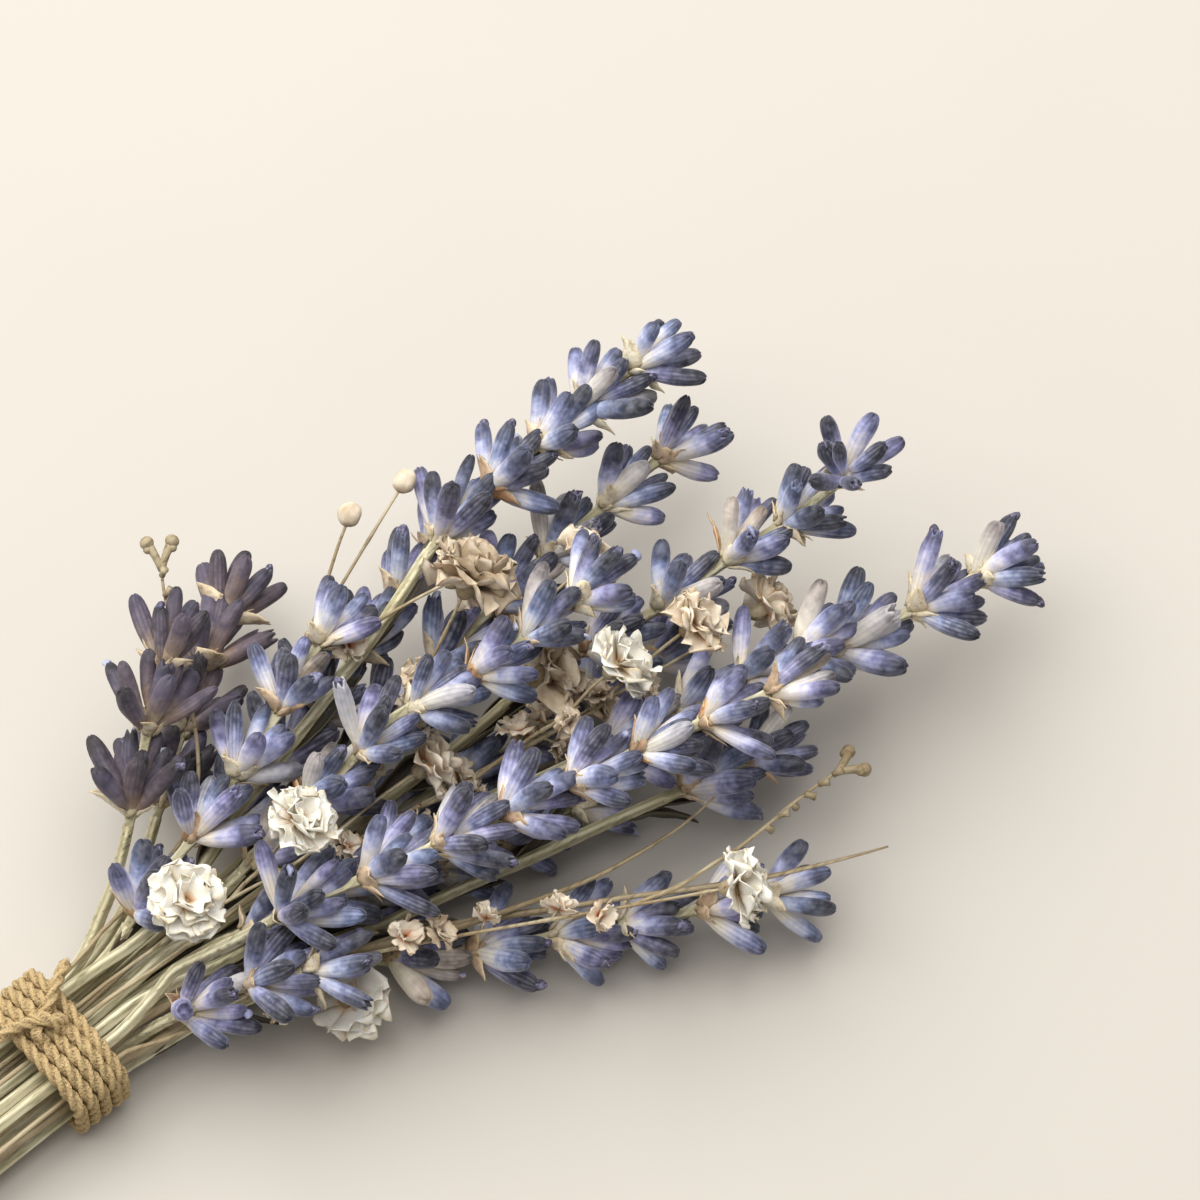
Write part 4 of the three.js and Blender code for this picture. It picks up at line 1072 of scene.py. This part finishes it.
def spray(lines, number):
    """The wiry stem and branches of one plant, with what they carry apart from the double flowers."""
    surface = Surface()
    for line in lines:
        thick = WIRE_RADIUS * (0.72 if line.kind == "spray" else 0.52)
        heart = FLOWER_RADIUS.get(line.carries, 0) * 0.36
        add_wire(surface, line, line.total - heart * 0.4, thick, WIRE_RADIUS * 0.34)
        if line.carries == "seed":
            along = line.along(line.total)
            centre = line.at(line.total) + along * 0.6
            add_closed_bud(surface, centre, along, SEED_RADIUS, line.plant * 5 + line.joint)
        if line.carries == "fork":
            add_fork(surface, line)
        if line.carries in FLOWER_RADIUS:
            first = TAIL_LENGTH + 26 if line.kind == "spray" else 5
            for j in range(int((line.total - 7 - first) / FLORET_PITCH)):
                run = first + FLORET_PITCH * (j + draw(line.plant, line.joint, j, 95))
                add_floret(surface, line, run, (line.plant, line.joint, j))
    name = f"babys_breath_spray_{number:02d}"
    surface.piece("fine_" + name, [SPRAY_STALK, AGED_PETAL, CREAM_PETAL], "babys_breath_stem", name)


def add_petal(surface, place, roll, lean, reach, half_width, drying, keys, finish=0):
    """A broad petal like crumpled tissue, with a frilled end."""
    rows, columns = 11, 11
    folds, fold_height, crease_height, most_curl = drying
    u, v = np.linspace(0, 1, rows), np.linspace(-1, 1, columns)
    u_rows = u[:, None]
    curl = mix(-0.7 * most_curl, most_curl, draw(*keys, 1))
    leans = lean + curl * (u - 0.35)
    width = half_width * np.interp(u, (0, 0.25, 0.55, 0.82, 1), (0.25, 0.55, 0.95, 1, 0.78))
    cup = mix(-0.1, 0.8, draw(*keys, 2))
    phase = 6 * draw(*keys, 3)
    frill = np.sin(v * mix(5, 8, draw(*keys, 6)) + phase) * u_rows**3 * half_width * 0.2
    notches = -0.12 * np.abs(np.sin(v * 4 + phase)) * u_rows**4 - 0.2 * v**2 * u_rows**3
    start, along, out = place["base"], place["along"], around(place, roll)
    grid, way, back = strip(start, along, out, leans, reach, width, cup, v)
    grid = grid + way[:, None] * (notches * reach)[..., None] + back[:, None] * frill[..., None]
    seed = keys[1] * 13 + keys[2] * 5 + keys[3]
    free = (0.25 + 0.75 * u_rows)[..., None]
    for size, height, more in ((folds, fold_height * reach / 4, 0), (0.55, crease_height, 50)):
        grid = grid + (wrinkled(grid, size, height, seed + more) - grid) * free
    marks = marked(rows, columns, u, draw(*keys, 4), np.maximum(np.abs(v), u_rows**4), draw(*keys, 5))
    surface.blade(grid, marks, PETAL_THICKNESS, finish=finish)


def bloom(line, number):
    """A double flower: rings of crumpled petals round a brown heart, on a small cup."""
    surface = Surface()
    radius = FLOWER_RADIUS[line.carries]
    axis = line.along(line.total)
    place = seat(line.at(line.total) - axis * radius * 0.22, axis)
    for ring, (lean, count, reach, half_width) in enumerate(PETAL_RINGS):
        for j in range(count):
            keys = (line.plant, number, ring, j)
            roll = (j + 0.5 * (ring % 2)) * 360 / count + spread(14, *keys, 7)
            size = radius * reach * (1 - 0.16 * draw(*keys, 8))
            leant = lean + spread(9, *keys, 9)
            add_petal(surface, place, roll, leant, size, radius * half_width, DRYING[line.carries], keys)
    points = np.array([place["base"] + axis * k * radius for k in (-0.42, -0.3, -0.12, 0.1)])
    surface.twig(points, radius * np.array((0.1, 0.2, 0.26, 0.24)), 10, finish=1)
    name = f"{line.carries}_bloom_{number:02d}"
    surface.piece("fine_" + name, [PETALS_OF[line.carries], SPRAY_STALK], line.carries + "_petal", name)


def grass_stalk(line, number):
    """A thin dry stalk, slightly channelled, that tapers to a bare point."""
    surface = Surface()
    runs = np.append(np.arange(0, line.total, 1.2), line.total)
    share = runs / line.total
    radii = np.interp(share, (0, 0.6, 0.88, 1), (0.45, 0.4, 0.34, 0.1))
    columns = 10
    section = 1 - 0.18 * np.cos((np.arange(columns) + 0.5) / columns * 4 * math.pi)
    points = wrinkled(line.smooth(runs), 9, 0.18, 300 + number)
    surface.twig(points, radii, columns, run=share, section=section, twist=runs * 2.5)
    name = f"grass_stalk_{number:02d}"
    surface.piece("fine_" + name, [GRASS_STALK], "dry_grass", name)


# ---- The tie ----
PLY_LAY = 5.2  # the three plies make one full turn in this length
FIBRE_PITCH = 1.6
FRAYED_FIBRES = 16  # at each end of the knot
# The knot from its middle: its two ends, each from its tip inwards, and the turn that holds them.
KNOT = (
    (
        (-5.6, 1.6, 0.5), (-3.4, 1.5, 1.1), (-1.5, 0.9, 0.8),
        (0.2, -0.2, 1.3), (1.4, -0.9, 0.6), (1.0, -1.4, -0.7),
    ),
    (
        (5.6, 3.6, 0.5), (3.4, 2.4, 1.1), (1.4, 1.1, 0.9),
        (-0.3, 0.5, 0.4), (-1.4, -0.5, 0.5), (-1.0, -1.4, -0.7),
    ),
    ((-0.9, 1.5, -0.7), (-0.7, 1.0, 0.7), (0.0, 0.2, 1.5), (0.6, -0.9, 0.8), (0.8, -1.6, -0.6)),
)


def tie_loop(clearance):
    """The outline of the tied stems, this far out, as evenly spaced points from its bottom round."""
    seats = np.array([seat for column in seat_columns() for seat in column])
    turns = np.arange(720) / 720 * 2 * math.pi - math.pi / 2
    ways = np.stack((np.cos(turns), np.sin(turns)), axis=1)
    outline = seats[np.argmax(ways @ seats.T, axis=1)] + ways * clearance
    closed = np.concatenate((outline, outline[:1]))
    runs = np.concatenate(([0.0], np.cumsum(np.linalg.norm(np.diff(closed, axis=0), axis=1))))
    return closed, runs


def add_twine(surface, points, radius, seed):
    """Three plies twisted together, with loose fibres standing off."""
    columns = 18
    runs = np.concatenate(([0.0], np.cumsum(np.linalg.norm(np.diff(points, axis=0), axis=1))))
    turns = (np.arange(columns) + 0.5) / columns * 2 * math.pi
    section = 0.84 + 0.16 * np.cos(3 * turns)
    radii = np.full(len(points), radius)
    surface.twig(points, radii, columns, section=section, twist=runs / PLY_LAY * 360)
    ups, sides = frames(points)
    for i in range(int(runs[-1] / FIBRE_PITCH)):
        at = int(draw(seed, i, 81) * (len(points) - 1))
        angle = draw(seed, i, 82) * 2 * math.pi
        out = ups[at] * math.cos(angle) + sides[at] * math.sin(angle)
        along = unit(points[min(at + 1, len(points) - 1)] - points[max(at - 1, 0)])
        length = mix(0.5, 1.3, draw(seed, i, 83))
        start = points[at] + out * radius * 0.8
        ways = ((0, 0), (0.5, 0.25), (1, 0.3))
        path = np.array([start + (along * far + out * off) * length for far, off in ways])
        surface.twig(wrinkled(path, 0.8, 0.25, seed + i), (0.035, 0.03, 0.012), 3, ridge=1)


def curve_through(corners, count=28):
    """A smooth open curve through a few points."""
    line = Line(corners, 1, "twine", 0)
    line.measure()
    return line.smooth(np.linspace(0, line.total, count))


def tie():
    """Five turns of twine round the stems, and a knot with two frayed ends on top."""
    surface = Surface()
    middle = STEM_RADIUS + GAP + TWINE_RADIUS
    loop, runs = tie_loop(middle)
    pitch = TWINE_RADIUS * 1.8
    count = int(TWINE_TURNS * runs[-1] / 0.55)
    share = np.arange(count + 1) / count * TWINE_TURNS
    place = (share % 1) * runs[-1]
    y, z = np.interp(place, runs, loop[:, 0]), np.interp(place, runs, loop[:, 1]) + TIE_HEIGHT
    x = np.clip((share - TWINE_TURNS / 2) * pitch, -2 * pitch, 2 * pitch)
    add_twine(surface, np.stack((x, y, z), axis=1), TWINE_RADIUS, 500)
    knot = np.array((0, 1.2, TIE_HEIGHT + SEAT_PITCH * 1.5 + middle + TWINE_RADIUS - 0.2))
    for i, corners in enumerate(KNOT):
        add_twine(surface, knot + curve_through(corners), TWINE_RADIUS * 0.85, 520 + 40 * i)
    for i, tip in enumerate((KNOT[0][0], KNOT[1][0])):
        for j in range(FRAYED_FIBRES):
            way = unit(np.array((math.copysign(1, tip[0]), spread(0.6, i, j, 91), spread(0.5, i, j, 92))))
            aside = np.array((0, spread(0.35, i, j, 93), spread(0.35, i, j, 94)))
            base = knot + np.array(tip) - way * 0.5 + aside
            path = np.array([base, base + way * 0.6, base + way * mix(0.7, 1.1, draw(i, j, 95))])
            surface.twig(path, (0.09, 0.06, 0.02), 4, ridge=0.8)
    surface.piece("fine_tie", [TWINE], "twine", "tie")


# ---- The picture: table, light and camera ----
VIEW_TURN, VIEW_HEIGHT = -40, 68  # degrees round from +Y, and above the table
FRAME_WIDTH = 120  # what the picture shows, across
TIE_IN_FRAME = (-54.5, -45.2)  # the tie from the picture's middle, right and up
LENS, SENSOR = 400, 36
TABLE_SIDE = 6000
ROOM_LIGHT = 0.34


def view_axes():
    a, e = math.radians(VIEW_TURN), math.radians(VIEW_HEIGHT)
    right = np.array((math.cos(a), math.sin(a), 0))
    ahead = np.array((-math.sin(a), math.cos(a), 0))
    up = ahead * math.sin(e) + UP * math.cos(e)
    return right, ahead, up, UP * math.sin(e) - ahead * math.cos(e)


def aim(thing, place, target, up=(0, 0, 1)):
    """Sets a lamp or the camera at a place and turns it to a target, both in millimetres."""
    back = Vector(place - target).normalized()
    right = Vector(up).cross(back).normalized()
    turn = Matrix((right, back.cross(right), back)).transposed()
    thing.matrix_world = Matrix.Translation(Vector(place * MM)) @ turn.to_4x4()


def table():
    mesh = bpy.data.meshes.new("table")
    half = TABLE_SIDE / 2 * MM
    corners = [(-half, -half, 0), (half, -half, 0), (half, half, 0), (-half, half, 0)]
    mesh.from_pydata(corners, [], [(0, 1, 2, 3)])
    mesh.materials.append(pale_table())
    made = bpy.data.objects.new("table", mesh)
    bpy.context.scene.collection.objects.link(made)


def lamp(name, place, target, size, power, colour):
    """A round soft lamp, so many metres across and with so many watts."""
    light = bpy.data.lights.new(name, "AREA")
    light.shape, light.size, light.energy = "DISK", size, power
    light.color = linear(colour)[:3]
    made = bpy.data.objects.new(name, light)
    bpy.context.scene.collection.objects.link(made)
    aim(made, place, target)


def studio():
    right, ahead, up, back = view_axes()
    centre = MIDDLE + UP * TIE_HEIGHT - right * TIE_IN_FRAME[0] - up * TIE_IN_FRAME[1]
    lens = bpy.data.cameras.new("camera")
    lens.lens, lens.sensor_width = LENS, SENSOR
    camera = bpy.data.objects.new("camera", lens)
    bpy.context.scene.collection.objects.link(camera)
    distance = FRAME_WIDTH * LENS / SENSOR
    lens.clip_start, lens.clip_end = distance * MM * 0.1, distance * MM * 10
    aim(camera, centre + back * distance, centre, up)
    bpy.context.scene.camera = camera
    lamp("window", centre - right * 190 + ahead * 270 + UP * 700, centre, 1.3, 15.4, "#fffefc")
    lamp("bounce", centre + right * 900 - ahead * 300 + UP * 900, centre, 1.2, 0.5, "#f2f5ff")
    world = bpy.data.worlds.new("room")
    world.use_nodes = True
    shade = world.node_tree.nodes["Background"]
    shade.inputs["Color"].default_value = linear("#fbf9f8")
    shade.inputs["Strength"].default_value = ROOM_LIGHT
    bpy.context.scene.world = world
    bpy.context.scene.view_settings.view_transform = "Standard"


def build():
    lines = lay_out()
    settle(lines)
    for line in lines:
        if line.kind == "spike":
            lavender_stem(line)
            lavender_head(line)
    for i in range(len(SPRAYS)):
        spray([line for line in lines if line.plant == len(SPIKES) + i], i + 1)
    for i, line in enumerate(line for line in lines if line.carries in FLOWER_RADIUS):
        bloom(line, i + 1)
    for i, line in enumerate(line for line in lines if line.kind == "stalk"):
        grass_stalk(line, i + 1)
    tie()


build()
table()
studio()
